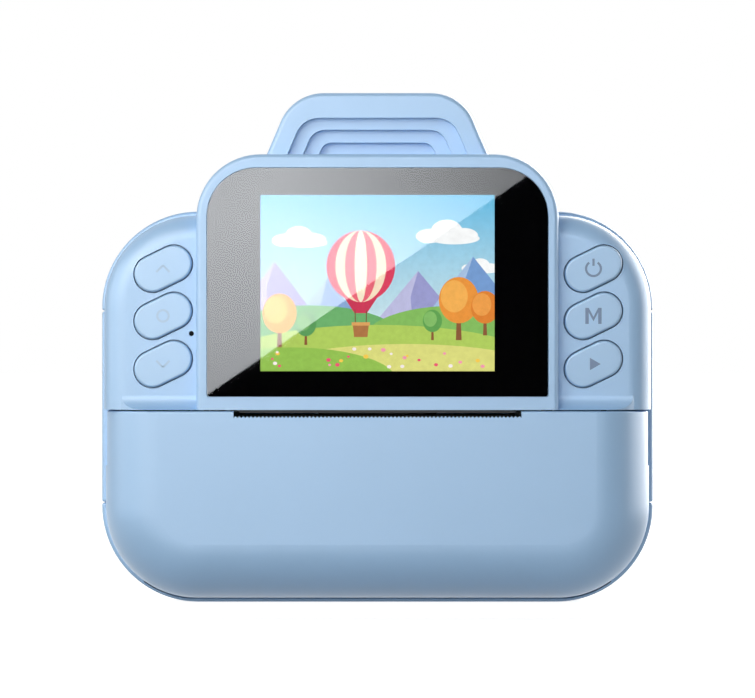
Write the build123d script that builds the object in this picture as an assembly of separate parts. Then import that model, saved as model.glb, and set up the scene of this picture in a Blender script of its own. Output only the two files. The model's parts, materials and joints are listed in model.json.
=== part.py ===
from build123d import *

import math
import os

# A children's instant-print camera, in millimetres.
# X is the width, Y the depth with the lens towards -Y, and Z is up from the flat underside.

# --- Overall size -------------------------------------------------------------------------
WIDTH = 118.0
BODY_HEIGHT = 83.6
BODY_CORNER = 20.6
WALL = 2.2
SEAM_GAP = 0.25
SEAM_ROUNDING = 0.45
RIM_ROUNDING = 0.8
THIN_WALL = 0.6

# How far a joined solid sinks into its wall, a cut passes the surface, and edges may differ.
SINK = 0.2
BEYOND = 1.0
NEAR = 0.001

# --- Depth stations, from the lens to the back ---------------------------------------------
LENS_FRONT_Y = -28.5
PLATE_FACE_Y = -17.5
FRONT_FACE_Y = -14.5
PARTING_Y = 14.0
PANEL_FACE_Y = 25.5
BACK_FACE_Y = 28.5
FRONT_ROUNDING = 11.0
BOSS_START = 0.5

# --- Seams of the front shells --------------------------------------------------------------
UPPER_SEAM_Z = 62.3
LOWER_SEAM_Z = 21.3

# --- Central block: front plate, column and screen frame ------------------------------------
BLOCK_WIDTH = 75.8
BLOCK_BOTTOM_Z = 22.7
BLOCK_TOP_Z = 94.9
BLOCK_CORNER = 13.4
BLOCK_EDGE = 1.0
PLATE_EDGE = 0.8
PLATE_TOP_INSET = 0.1

# --- Rear shells ----------------------------------------------------------------------------
REAR_INSET = 1.2
PANEL_ROUNDING = 5.0
DOOR_ROUNDING = 12.0
DOOR_TOP_Z = 41.4
RAMP_TOP_Z = 44.4
DOOR_WALL = 2.0
GRIP_BOTTOM_Z = 29.4
GRIP_DEPTH = 0.7
GRIP_REACH = 6.0
GRIP_OVERRUN = 5.0

# --- Paper slot and its tear edge -----------------------------------------------------------
SLOT_HALF_WIDTH = 30.1
SLOT_HEIGHT = 1.3
TOOTH_COUNT = 74
TOOTH_HEIGHT = 0.4
TEAR_EDGE_THICKNESS = 1.0
TEAR_EDGE_ROOT = 0.8
TEAR_EDGE_RECESS = 0.15

# --- Lens -----------------------------------------------------------------------------------
LENS_Z = 58.6
BASE_RING_RADIUS = 30.8
BASE_RING_THICKNESS = 1.3
BASE_RING_WIDTH = 6.0
BASE_RING_CHAMFER = 0.4
DOME_SEAT_DEPTH = 0.5
DOME_SEAT_SLACK = 0.2
DOME_RADIUS = 29.5
DOME_ROUNDING = 6.0
DOME_BORE = 19.8
DOME_LIP = 0.4
DOME_SKIRT_INSET = 0.7
DOME_SKIRT_HEIGHT = 0.9
DOME_WALL = 3.0
DOME_INNER_WALL = 2.0
TRIM_RING_BORE = 17.9
TRIM_RING_RECESS = 0.4
TRIM_RING_EDGE = 0.2
TRIM_RING_GAP = 0.35
TRIM_RING_BEVEL = 0.3
TRIM_RING_DEPTH = 4.0
BAFFLE_STEPS = 16
BAFFLE_BORE = 7.5
BAFFLE_RECESS = 1.1
BAFFLE_DEPTH = 3.6
BAFFLE_WALL = 1.3
BAFFLE_RIM = 0.6
BAFFLE_FLOOR = 0.8
BAFFLE_GROOVE = (0.55, 0.70, 0.85)
BAFFLE_GROOVE_DROP = 1.6
RETAINER_LIP = 0.25
FRONT_LENS_RADIUS = 7.0
FRONT_LENS_THICKNESS = 1.6
FRONT_LENS_BULGE = 1.5
FRONT_LENS_LAND = 0.5
BARREL_RADIUS = 8.6
BARREL_STEP_RADIUS = 4.8
BARREL_STEP_DEPTH = 2.2
BARREL_FLANGE = (0.2, 1.6)
REAR_LENS_RADIUS = 3.4
REAR_LENS_BULGE = 0.9
REAR_LENS_THICKNESS = 2.0
SENSOR_CLEARANCE = 1.2
SENSOR_HALF_WIDTH = 2.6
SENSOR_HEIGHT = 0.9
SENSOR_BOARD_HALF_WIDTH = 11.0
LENS_PASSAGE_RADIUS = 24.0
FIT = 0.05

# --- Screen ---------------------------------------------------------------------------------
GLASS_WIDTH = 71.5
GLASS_BOTTOM_Z = 44.1
GLASS_TOP_Z = 92.1
GLASS_TOP_CORNER = 10.3
GLASS_BOTTOM_CORNER = 0.6
GLASS_THICKNESS = 1.2
GLASS_RECESS = 0.15
GLASS_CLEARANCE = 0.12
LCD_WIDTH = 60.0
LCD_HEIGHT = 42.9
LCD_THICKNESS = 2.4
LCD_CENTRE_Z = 67.95
LCD_GAP = 0.1
LCD_CLEARANCE = 0.3
FLEX_HALF_WIDTH = 9.0
FLEX_THICKNESS = 0.3
FLEX_BEND = 3.0
FLEX_LOW_Z = 51.5
FLEX_BEND_Z = 54.0
FLEX_TOP_Z = 60.0

# --- Mirror hump on top ---------------------------------------------------------------------
HUMP_TOP_Z = 108.3
HUMP_TOP_HALF_WIDTH = 17.9
HUMP_BASE_HALF_WIDTH = 23.6
HUMP_CORNER = 9.9
HUMP_FRONT_Y = -12.5
HUMP_BACK_Y = 22.0
HUMP_WALL = 2.0
HUMP_STEP_DEPTH = 1.8
HUMP_STEP_TOPS = (103.0, 100.6, 98.0)
HUMP_STEP_BASES = (19.2, 16.0, 12.7)
HUMP_STEP_CORNERS = (5.2, 3.9, 2.6)
HUMP_EDGE = 1.0
MIRROR_SIDE_BORDER = 1.8
MIRROR_TOP_BORDER = 2.4
MIRROR_RECESS = 0.4
MIRROR_THICKNESS = 1.0
MIRROR_CLEARANCE = 0.1

# --- Buttons --------------------------------------------------------------------------------
BUTTON_LENGTH = 12.6
BUTTON_WIDTH = 7.6
BUTTON_TILT = 26.0
BUTTON_PROUD = 0.6
BUTTON_GAP = 0.25
BUTTON_FLANGE = 0.5
BUTTON_TRAVEL = 0.5
BUTTON_EDGE = 0.5
FLANGE_GAP = 0.4
FLANGE_THICKNESS = 0.8
FLANGE_CLEARANCE = 0.35
STEM_RADIUS = 1.6
STEM_GAP = 0.2
STEM_SINK = 0.1
SWITCH_WIDTH = 6.0
PLUNGER_HEIGHT = 0.6
BUTTON_HEIGHTS = (71.0, 61.1, 51.0)
RIGHT_BUTTON_X = -45.3
LEFT_BUTTON_X = 45.0
BUTTON_NAMES = {
    RIGHT_BUTTON_X: ("power_button", "mode_button", "play_button"),
    LEFT_BUTTON_X: ("up_button", "ok_button", "down_button"),
}
SWITCH_TOP_Y = 20.5
BUTTON_BOARD_Y = 17.0
BUTTON_BOARD_HALF_WIDTH = 8.0
BUTTON_BOARD_Z_RANGE = (42.0, 78.2)
BUTTON_POST_RADIUS = 1.5
BOARD_THICKNESS = 1.0

# --- Shutter button, set square to the curve of the shoulder -----------------------------------
SHUTTER_RADIUS = 4.5
SHUTTER_ANGLE = 24.0
SHUTTER_Y = 3.0
SHUTTER_PROUD = 0.3
SHUTTER_FLANGE = 1.1
SHUTTER_TRAVEL = 0.8
SHUTTER_CAP_DEPTH = 1.2
SHUTTER_FLANGE_DEPTHS = (1.9, 1.1)
SHUTTER_STEM_DEPTHS = (3.0, 1.8)
SHUTTER_BOARD_DEPTH = 8.6
SHUTTER_BOARD_SIZE = (14.6, 8.0)
SHUTTER_CASE_HEIGHT = 2.4
SHUTTER_FOOT_WIDTH = 4.0
SHUTTER_LEG_OFFSET = 6.6
SHUTTER_LEG_SIZE = (1.4, 5.0)
SHUTTER_LEG_LENGTH = 8.0
SHUTTER_REACH = 3.0
SHUTTER_CAP_REACH = 8.0

# --- Sound ----------------------------------------------------------------------------------
SPEAKER_HOLE_RADIUS = 0.7
SPEAKER_HOLE_PITCH = 3.27
SPEAKER_CORNER_X = -42.3
SPEAKER_LOWEST_Z = 66.4
SPEAKER_X = -43.5
SPEAKER_Z = 69.2
SPEAKER_RADIUS = 6.5
SPEAKER_FRONT_Y = -10.5
SPEAKER_SEAT_WALL = 1.0
SPEAKER_FRAME_DEPTH = 2.2
MAGNET_INSET = 2.4
MAGNET_DEPTH = 1.8
MIC_X = 39.1
MIC_Z = 57.4
MIC_RADIUS = 1.2
MIC_HOLE_RADIUS = 0.55
MIC_LENGTH = 2.0

# --- Side ports -----------------------------------------------------------------------------
USB_Z = 43.5
USB_WIDTH = 9.0
USB_HEIGHT = 3.2
USB_RECESS = 0.4
USB_SHELL = 0.3
USB_LENGTH = 7.3
USB_BORE_DEPTH = 6.5
USB_TONGUE = (7.0, 1.0)
USB_TONGUE_HALF_HEIGHT = 0.35
USB_TONGUE_HALF_WIDTH = 3.2
CARD_Z = 55.2
CARD_WIDTH = 11.4
CARD_HEIGHT = 1.8
CARD_CORNER = 0.3
CARD_READER_GAP = 0.2
CARD_READER_LENGTH = 14.0
CARD_READER_MARGIN = 0.5
CARD_READER_WALL = 0.3
CARD_READER_SIDE_WALL = 0.4
PORT_BOARD_Y = 0.0
PORT_CLEARANCE = 0.2
SIDE_BOARD_X_RANGE = (41.0, 56.2)
SIDE_BOARD_Z_RANGE = (37.0, 61.5)

# --- Printer --------------------------------------------------------------------------------
HINGE_Y = 15.5
HINGE_Z = 4.6
HINGE_PIN_RADIUS = 1.0
HINGE_BOSS_RADIUS = 2.4
HINGE_RELIEF = 0.5
HINGE_SIDE_GAP = 0.4
HINGE_RELIEF_SIDE = 0.3
LUG_WIDTH = 4.0
PIN_END_GAP = 0.1
PIN_OVERHANG = 4.6
LIP_CLEARANCE = 0.45
RELIEF_HALF_WIDTH = 50.0
ROLL_Y = 5.5
ROLL_Z = 19.5
ROLL_RADIUS = 12.5
ROLL_WIDTH = 57.0
CORE_RADIUS = 6.5
CORE_BORE = 5.5
TROUGH_CLEARANCE = 0.5
TROUGH_WALL = 1.2
CHASSIS_INNER_X = 29.4
CHASSIS_OUTER_X = 31.4
CHASSIS_TOP_Z = 46.0
CHASSIS_FRONT_TOP_Z = 40.0
CHASSIS_BOTTOM_Z = 9.0
CHASSIS_STEP_Z_RANGE = (26.0, 30.0)
CHASSIS_BACK_Y = 15.0
CHASSIS_SLOPE_Y = 3.0
FRONT_BAR_DEPTH = 2.0
FRONT_BAR_Z_RANGE = (33.0, 39.0)
TOP_BAR_Y_RANGE = (8.0, 15.0)
TOP_BAR_Z_RANGE = (44.0, 46.0)
TROUGH_RIM_Z = 27.5
TROUGH_BACK_Y = 13.5
PLATEN_Y = 20.5
PLATEN_Z = 36.0
PLATEN_RADIUS = 4.4
PLATEN_SHAFT_RADIUS = 1.5
PLATEN_HALF_WIDTH = 29.0
PLATEN_ARM_INNER_X = 29.6
BUSH_RADIUS = 2.2
ARM_EYE_RADIUS = 3.2
ARM_WEB_LENGTH = 7.0
CATCH_ARM_THICKNESS = 1.8
CATCH_ARM_Y_RANGE = (8.5, 17.5)
CATCH_ARM_Z_RANGE = (32.5, 37.0)
CATCH_NOSE_RADIUS = 0.6
CATCH_NOSE_Y_RANGE = (9.0, 10.5)
HEAD_BOTTOM_Z = 40.75
HEAD_DEPTH = 11.0
HEAD_BACK_Y = 25.5
HEAD_HALF_WIDTH = 29.0
HEAD_THICKNESS = 1.0
HEATSINK_OVERHANG = 0.2
HEATSINK_LIP = 1.0
HEATSINK_THICKNESS = 1.6
SPRING_HALF_WIDTH = 18.0
SPRING_THICKNESS = 0.4
SPRING_Y_STATIONS = (9.0, 15.4, 19.5, 22.0, 23.2)
SPRING_TIP_LIFT = 0.7

# --- Gear train -----------------------------------------------------------------------------
GEAR_MODULE = 0.5
GEAR_FRONT_X = 33.2
GEAR_BACK_X = 35.6
PLATEN_TEETH = 20
IDLER_TEETH = 30
PINION_TEETH = 12
CENTRE_SLACK = 0.15
TOOTH_TIP = 0.85
TOOTH_ROOT = 1.15
TOOTH_TIP_SHARE = 0.13
TOOTH_ROOT_SHARE = 0.33
SHAFT_OVERHANG = 0.3
PLATEN_SHAFT_OVERHANG = 0.4
IDLER_PIN_RADIUS = 1.0
MOTOR_RADIUS = 7.5
MOTOR_LENGTH = 12.0
MOTOR_SHAFT_RADIUS = 0.75
MOTOR_DIRECTION = 240.0
MOTOR_SHAFT_DEPTH = 8.0
MOTOR_BORE_DEPTH = 8.3
MOTOR_SHAFT_WAY = 0.4
BRACKET_X = 36.2
BRACKET_THICKNESS = 1.2
BRACKET_EYE_RADIUS = 3.5
BRACKET_WEB_CENTRE = (0.5, 33.5)
BRACKET_WEB_SIZE = (9.0, 10.0)
BRACKET_FOOT_Y_RANGE = (-6.5, -4.0)
BRACKET_FOOT_Z_RANGE = (34.0, 38.0)
BRACKET_EAR_Y_RANGE = (-6.5, 0.0)
BRACKET_EAR_Z_RANGE = (30.0, 38.0)
BRACKET_REACH = 3.0

# --- Power and boards -----------------------------------------------------------------------
BATTERY_SIZE = (10.0, 24.0, 40.0)
BATTERY_CENTRE = (-43.0, 1.8, 36.5)
BATTERY_CORNER = 3.0
TRAY_WALL = 1.5
TRAY_FLOOR = 1.3
TRAY_CLEARANCE = 0.2
TRAY_BACK_CLEARANCE = 0.1
TRAY_DEPTH = 6.0
MAIN_BOARD_Y = 11.0
MAIN_BOARD_THICKNESS = 1.2
MAIN_BOARD_HOLE_RADIUS = 1.2
MAIN_BOARD_BOTTOM_Z = 48.0
MAIN_BOARD_TOP_Z = 82.8
MAIN_BOARD_HALF_WIDTH = 33.0
BOARD_POSTS = ((29.0, 52.0), (29.0, 80.0))
MAIN_CHIPS = ((-8.0, 70.0, 12.0), (12.0, 72.0, 9.0), (14.0, 58.0, 6.0))
CHIP_HEIGHT = 1.2
POST_RADIUS = 2.2
PILOT_RADIUS = 0.8
HOUSING_SCREW_X = 32.4
HOUSING_SCREW_Z = 86.5
HOUSING_SCREW_RADIUS = 1.0
HOUSING_SCREW_LENGTH = 12.5
HOUSING_SCREW_HEAD_Y = 8.0
HOUSING_SCREW_HEAD_RADIUS = 2.1
HOUSING_PILOT_END = 0.5
HOUSING_POST_EXTRA = 1.0
CHASSIS_SCREW_X = 24.0
CHASSIS_SCREW_Z = 36.0
CHASSIS_SCREW_RADIUS = 0.95
CHASSIS_SCREW_LENGTH = 9.0
CHASSIS_SCREW_HEAD_Y = -13.0
CHASSIS_SCREW_HEAD_RADIUS = 2.0
CHASSIS_BOSS_RADIUS = 2.6
CHASSIS_BOSS_DEPTH = 5.0
CHASSIS_PILOT_DEPTH = 4.0
BOARD_SCREW_LENGTH = 5.0
BOARD_SCREW_HEAD_RADIUS = 1.7
SCREW_HEAD_HEIGHT = 1.2
SCREW_CLEARANCE = 0.4
CROSS_LENGTH = 2.0
CROSS_WIDTH = 0.5
CROSS_DEPTH = 0.5

FAR = 300.0


# --- Shared shapes --------------------------------------------------------------------------
def along_y(sketch, y_from, y_to):
    """Stand a sketch of (X, Z) points up and run it along Y."""
    plane = Plane(origin=(0, y_from, 0), x_dir=(1, 0, 0), z_dir=(0, -1, 0))
    return extrude(plane * sketch, amount=y_from - y_to)


def along_x(sketch, x_from, x_to):
    """Stand a sketch of (Y, Z) points up and run it along X."""
    plane = Plane(origin=(x_from, 0, 0), x_dir=(0, 1, 0), z_dir=(1, 0, 0))
    return extrude(plane * sketch, amount=x_to - x_from)


def box_between(x_range, y_range, z_range):
    """A box between two values on each axis."""
    size = [high - low for low, high in (x_range, y_range, z_range)]
    centre = [(high + low) / 2 for low, high in (x_range, y_range, z_range)]
    return Pos(*centre) * Box(*size)


def rod_y(radius, y_from, y_to, x, z):
    """A round rod along Y."""
    return along_y(Pos(x, z) * Circle(radius), y_from, y_to)


def rod_x(radius, x_from, x_to, y, z):
    """A round rod along X."""
    return along_x(Pos(y, z) * Circle(radius), x_from, x_to)


def slab(width, bottom, top, corner, y_from, y_to):
    """A rounded rectangle in XZ, run along Y."""
    outline = Pos(0, (bottom + top) / 2) * RectangleRounded(width, top - bottom, corner)
    return along_y(outline, y_from, y_to)


def edges_at_y(solid, y):
    """The edges that lie in one plane of constant Y."""
    return solid.edges().filter_by_position(Axis.Y, y - NEAR, y + NEAR)


def edges_at_z(solid, z):
    """The edges that lie in one plane of constant Z."""
    return solid.edges().filter_by_position(Axis.Z, z - NEAR, z + NEAR)


def above(z):
    """Everything higher than z."""
    return box_between((-FAR, FAR), (-FAR, FAR), (z, z + FAR))


def below(z):
    """Everything lower than z."""
    return box_between((-FAR, FAR), (-FAR, FAR), (z - FAR, z))


def both_sides(solid):
    """The solid and its mirror image across the middle plane."""
    return [solid, mirror(solid, about=Plane.YZ)]


def turned_about_lens(profile):
    """Turn a profile of (radius, Y) points about the lens axis."""
    return Pos(0, 0, LENS_Z) * revolve(profile, axis=Axis.Y)


def polygon(points):
    """A flat face with straight sides."""
    return make_face(Polyline(*points, close=True))


def polar(radius, degrees):
    """A point at a distance and angle from the origin."""
    angle = math.radians(degrees)
    return radius * math.cos(angle), radius * math.sin(angle)


# --- Front shells ---------------------------------------------------------------------------
def front_outer():
    """The outer form of the three front shells, before the seams divide it."""
    body = slab(WIDTH, 0, BODY_HEIGHT, BODY_CORNER, FRONT_FACE_Y, PARTING_Y)
    body = fillet(edges_at_y(body, FRONT_FACE_Y), FRONT_ROUNDING)
    body = fillet(edges_at_y(body, PARTING_Y), RIM_ROUNDING)
    column = slab(
        BLOCK_WIDTH, BLOCK_BOTTOM_Z, BLOCK_TOP_Z, BLOCK_CORNER, FRONT_FACE_Y, PARTING_Y
    )
    return body + fillet(edges_at_y(column, PARTING_Y), SEAM_ROUNDING)


def front_cavity():
    """The space inside the front shells."""
    inner_face = FRONT_FACE_Y + WALL
    body = slab(
        WIDTH - 2 * WALL,
        WALL,
        BODY_HEIGHT - WALL,
        BODY_CORNER - WALL,
        inner_face,
        PARTING_Y + BEYOND,
    )
    body = fillet(edges_at_y(body, inner_face), FRONT_ROUNDING - WALL)
    column = slab(
        BLOCK_WIDTH - 2 * WALL,
        BLOCK_BOTTOM_Z + WALL,
        BLOCK_TOP_Z - WALL,
        BLOCK_CORNER - WALL,
        inner_face,
        PARTING_Y + BEYOND,
    )
    return body + column


def lens_passage():
    """The round way through the front wall for the camera module."""
    return rod_y(LENS_PASSAGE_RADIUS, FRONT_FACE_Y - BEYOND, FRONT_FACE_Y + WALL + BEYOND, 0, LENS_Z)


def board_post(x, z):
    """A post on the front wall that carries a corner of the main board."""
    post = rod_y(POST_RADIUS, FRONT_FACE_Y + WALL - SINK, MAIN_BOARD_Y, x, z)
    pilot = rod_y(PILOT_RADIUS, MAIN_BOARD_Y - BOARD_SCREW_LENGTH, MAIN_BOARD_Y + BEYOND, x, z)
    return post - pilot


def speaker_hole_centres():
    """Six small holes in a triangle, with the square corner towards the lens."""
    centres = []
    for row in range(3):
        z = SPEAKER_LOWEST_Z + row * SPEAKER_HOLE_PITCH
        for column in range(3 - row):
            centres.append((SPEAKER_CORNER_X - column * SPEAKER_HOLE_PITCH, z))
    return centres


def speaker_seat():
    """A ring behind the speaker holes that the speaker is glued to."""
    wall_y = FRONT_FACE_Y + WALL - SINK
    seat = rod_y(SPEAKER_RADIUS, wall_y, SPEAKER_FRONT_Y, SPEAKER_X, SPEAKER_Z)
    bore = SPEAKER_RADIUS - SPEAKER_SEAT_WALL
    return seat - rod_y(bore, wall_y, SPEAKER_FRONT_Y, SPEAKER_X, SPEAKER_Z)


def shutter_plane():
    """The plane that touches the shoulder where the shutter button sits, facing outwards."""
    arc_x = -(WIDTH / 2 - BODY_CORNER)
    arc_z = BODY_HEIGHT - BODY_CORNER
    lean = math.radians(SHUTTER_ANGLE)
    outwards = (-math.sin(lean), 0, math.cos(lean))
    origin = (
        arc_x - BODY_CORNER * math.sin(lean),
        SHUTTER_Y,
        arc_z + BODY_CORNER * math.cos(lean),
    )
    return Plane(origin=origin, x_dir=(0, 1, 0), z_dir=outwards)


def shutter_rod(radius, depth_from, depth_to):
    """A rod on the shutter axis between two heights above the shoulder surface."""
    plane = shutter_plane().offset(depth_from)
    return extrude(plane * Circle(radius), amount=depth_to - depth_from)


def housing_screw_post(x):
    """A long post for a housing screw that is reached from under the front plate."""
    return rod_y(
        POST_RADIUS + HOUSING_POST_EXTRA, FRONT_FACE_Y + BOSS_START, PARTING_Y, x, HOUSING_SCREW_Z
    )


def housing_screw_way(x):
    """The counterbore and the clearance hole of a housing screw."""
    head_way = rod_y(
        POST_RADIUS + SINK, FRONT_FACE_Y - BEYOND, HOUSING_SCREW_HEAD_Y, x, HOUSING_SCREW_Z
    )
    shank_way = rod_y(
        HOUSING_SCREW_RADIUS + SCREW_CLEARANCE,
        HOUSING_SCREW_HEAD_Y - BEYOND,
        PARTING_Y + BEYOND,
        x,
        HOUSING_SCREW_Z,
    )
    return head_way + shank_way


def top_cover():
    """The shoulder piece above the upper seam, with the shutter and speaker openings."""
    seam_z = UPPER_SEAM_Z + SEAM_GAP / 2
    outer = front_outer() & above(seam_z)
    outer = fillet(outer_seam_edges(outer, seam_z), SEAM_ROUNDING)
    cover = outer - front_cavity() - lens_passage()
    post_x, post_z = BOARD_POSTS[1]
    for post in both_sides(board_post(post_x, post_z)):
        cover += post
    cover += speaker_seat()
    for x in (-HOUSING_SCREW_X, HOUSING_SCREW_X):
        cover += housing_screw_post(x) & outer
        cover -= housing_screw_way(x)
    for x, z in speaker_hole_centres():
        cover -= rod_y(SPEAKER_HOLE_RADIUS, FRONT_FACE_Y - BEYOND, SPEAKER_FRONT_Y, x, z)
    cover += shutter_guide()
    cover -= shutter_rod(SHUTTER_RADIUS + BUTTON_GAP, -WALL - BEYOND, SHUTTER_REACH)
    return cover


def shutter_guide():
    """Two legs inside the shoulder that hold the shutter switch board."""
    plane = shutter_plane().offset(-WALL - SHUTTER_BOARD_DEPTH + BOARD_THICKNESS)
    leg = Rectangle(*SHUTTER_LEG_SIZE)
    legs = Pos(-SHUTTER_LEG_OFFSET, 0) * leg + Pos(SHUTTER_LEG_OFFSET, 0) * leg
    return extrude(plane * legs, amount=SHUTTER_LEG_LENGTH)


def outer_seam_edges(solid, z):
    """The long edges that a seam leaves on the outside, without the parting-plane edge."""
    return [edge for edge in edges_at_z(solid, z) if edge.center().Y < PARTING_Y - NEAR]


def front_housing():
    """The middle band behind the lens plate, with the side ports."""
    low = LOWER_SEAM_Z + SEAM_GAP / 2
    high = UPPER_SEAM_Z - SEAM_GAP / 2
    outer = front_outer() & above(low) & below(high)
    seam_edges = outer_seam_edges(outer, low) + outer_seam_edges(outer, high)
    outer = fillet(seam_edges, SEAM_ROUNDING)
    housing = outer - front_cavity() - lens_passage()
    post_x, post_z = BOARD_POSTS[0]
    for post in both_sides(board_post(post_x, post_z)):
        housing += post
    shank_way = CHASSIS_SCREW_RADIUS + SCREW_CLEARANCE
    for x in (-CHASSIS_SCREW_X, CHASSIS_SCREW_X):
        housing += rod_y(
            CHASSIS_BOSS_RADIUS, FRONT_FACE_Y + BOSS_START, CHASSIS_FRONT_Y, x, CHASSIS_SCREW_Z
        )
        housing -= rod_y(
            POST_RADIUS, FRONT_FACE_Y - BEYOND, CHASSIS_SCREW_HEAD_Y, x, CHASSIS_SCREW_Z
        )
        housing -= rod_y(shank_way, FRONT_FACE_Y, CHASSIS_FRONT_Y + BEYOND, x, CHASSIS_SCREW_Z)
    housing -= usb_opening()
    housing -= card_opening()
    return housing


def usb_opening():
    """The rounded way through the side wall for the USB plug."""
    y = PORT_BOARD_Y - USB_HEIGHT / 2
    outline = Pos(y, USB_Z) * SlotOverall(
        USB_WIDTH + 2 * PORT_CLEARANCE, USB_HEIGHT + 2 * PORT_CLEARANCE, rotation=90
    )
    return along_x(outline, WIDTH / 2 - WALL - BEYOND, WIDTH / 2 + BEYOND)


def card_opening():
    """The slot in the side wall for the memory card."""
    y = PORT_BOARD_Y - CARD_HEIGHT / 2
    outline = Pos(y, CARD_Z) * RectangleRounded(
        CARD_HEIGHT - 2 * PORT_CLEARANCE, CARD_WIDTH, CARD_CORNER
    )
    return along_x(outline, WIDTH / 2 - WALL - BEYOND, WIDTH / 2 + BEYOND)


def chin_cover():
    """The bottom piece that the camera stands on."""
    seam_z = LOWER_SEAM_Z - SEAM_GAP / 2
    outer = front_outer() & below(seam_z)
    outer = fillet(outer_seam_edges(outer, seam_z), SEAM_ROUNDING)
    lip_sweep = math.hypot(PARTING_Y - HINGE_Y, HINGE_Z - REAR_INSET) + LIP_CLEARANCE
    relief = rod_x(lip_sweep, -RELIEF_HALF_WIDTH, RELIEF_HALF_WIDTH, HINGE_Y, HINGE_Z)
    relief &= slab(
        WIDTH - 2 * THIN_WALL,
        THIN_WALL,
        BODY_HEIGHT,
        BODY_CORNER - THIN_WALL,
        FRONT_FACE_Y,
        PARTING_Y + BEYOND,
    )
    return outer - front_cavity() - relief


# --- Front plate and mirror -----------------------------------------------------------------
def lens_plate():
    """The square plate that carries the lens and covers the housing screws."""
    plate = slab(
        BLOCK_WIDTH,
        BLOCK_BOTTOM_Z,
        BLOCK_TOP_Z - PLATE_TOP_INSET,
        BLOCK_CORNER,
        PLATE_FACE_Y,
        FRONT_FACE_Y,
    )
    plate = fillet(edges_at_y(plate, PLATE_FACE_Y), PLATE_EDGE)
    return plate - rod_y(DOME_BORE, PLATE_FACE_Y - BEYOND, FRONT_FACE_Y + BEYOND, 0, LENS_Z)


def hump_outline(inset_sides=0.0, inset_top=0.0, corner=HUMP_CORNER):
    """The tapered outline of the hump, inset from its sides and top."""
    lean = (HUMP_BASE_HALF_WIDTH - HUMP_TOP_HALF_WIDTH) / (HUMP_TOP_Z - BLOCK_TOP_Z)
    top = HUMP_TOP_Z - inset_top
    base_half = HUMP_BASE_HALF_WIDTH - inset_sides
    top_half = base_half - lean * (top - BLOCK_TOP_Z)
    return tapered_outline(base_half, top_half, top, corner)


def tapered_outline(base_half, top_half, top, corner):
    """A symmetric trapezoid on top of the block, with rounded upper corners."""
    face = polygon(
        [
            (-base_half, BLOCK_TOP_Z),
            (base_half, BLOCK_TOP_Z),
            (top_half, top),
            (-top_half, top),
        ]
    )
    upper = face.vertices().sort_by(Axis.Y)[-2:]
    return fillet(upper, corner)


def hump_step_outline(top, base_half, corner):
    """The outline of one step in the back of the hump."""
    lean = (HUMP_BASE_HALF_WIDTH - HUMP_TOP_HALF_WIDTH) / (HUMP_TOP_Z - BLOCK_TOP_Z)
    return tapered_outline(base_half, base_half - lean * (top - BLOCK_TOP_Z), top, corner)


def hump_cover():
    """The hump on top: a hollow shell with a mirror seat in front and three steps behind."""
    hump = along_y(hump_outline(), HUMP_FRONT_Y, HUMP_BACK_Y)
    rims = edges_at_y(hump, HUMP_FRONT_Y) + edges_at_y(hump, HUMP_BACK_Y)
    rims = [edge for edge in rims if edge.center().Z > BLOCK_TOP_Z + NEAR]
    hump = fillet(rims, HUMP_EDGE)
    deepest = HUMP_BACK_Y - HUMP_STEP_DEPTH * len(HUMP_STEP_TOPS)
    hollow = hump_outline(HUMP_WALL, HUMP_WALL, HUMP_CORNER - HUMP_WALL)
    mirror_back = HUMP_FRONT_Y + MIRROR_RECESS + MIRROR_THICKNESS
    hump -= along_y(hollow, mirror_back + HUMP_WALL, deepest - HUMP_WALL)
    seat = hump_outline(MIRROR_SIDE_BORDER, MIRROR_TOP_BORDER, HUMP_CORNER - MIRROR_TOP_BORDER)
    hump -= along_y(seat, HUMP_FRONT_Y - BEYOND, mirror_back)
    steps = zip(HUMP_STEP_TOPS, HUMP_STEP_BASES, HUMP_STEP_CORNERS)
    for count, (top, base_half, corner) in enumerate(steps, start=1):
        step = hump_step_outline(top, base_half, corner)
        hump -= along_y(step, HUMP_BACK_Y - HUMP_STEP_DEPTH * count, HUMP_BACK_Y + BEYOND)
    return hump


def selfie_mirror():
    """The flat mirror let into the front of the hump."""
    outline = hump_outline(
        MIRROR_SIDE_BORDER + MIRROR_CLEARANCE,
        MIRROR_TOP_BORDER + MIRROR_CLEARANCE,
        HUMP_CORNER - MIRROR_TOP_BORDER - MIRROR_CLEARANCE,
    )
    face_y = HUMP_FRONT_Y + MIRROR_RECESS
    return along_y(outline, face_y, face_y + MIRROR_THICKNESS)


# --- Lens -----------------------------------------------------------------------------------
def lens_base_ring():
    """The flat ring between the plate and the dome, with a shadow groove at its edge."""
    face_y = PLATE_FACE_Y - BASE_RING_THICKNESS
    profile = polygon(
        [
            (DOME_RADIUS - BASE_RING_WIDTH, PLATE_FACE_Y),
            (BASE_RING_RADIUS, PLATE_FACE_Y),
            (BASE_RING_RADIUS, face_y + BASE_RING_CHAMFER),
            (BASE_RING_RADIUS - BASE_RING_CHAMFER, face_y),
            (DOME_RADIUS - DOME_SEAT_SLACK, face_y),
            (DOME_RADIUS - DOME_SKIRT_INSET + FIT * 2, face_y + DOME_SEAT_DEPTH),
            (DOME_RADIUS - BASE_RING_WIDTH, face_y + DOME_SEAT_DEPTH),
        ]
    )
    return turned_about_lens(profile)


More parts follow.
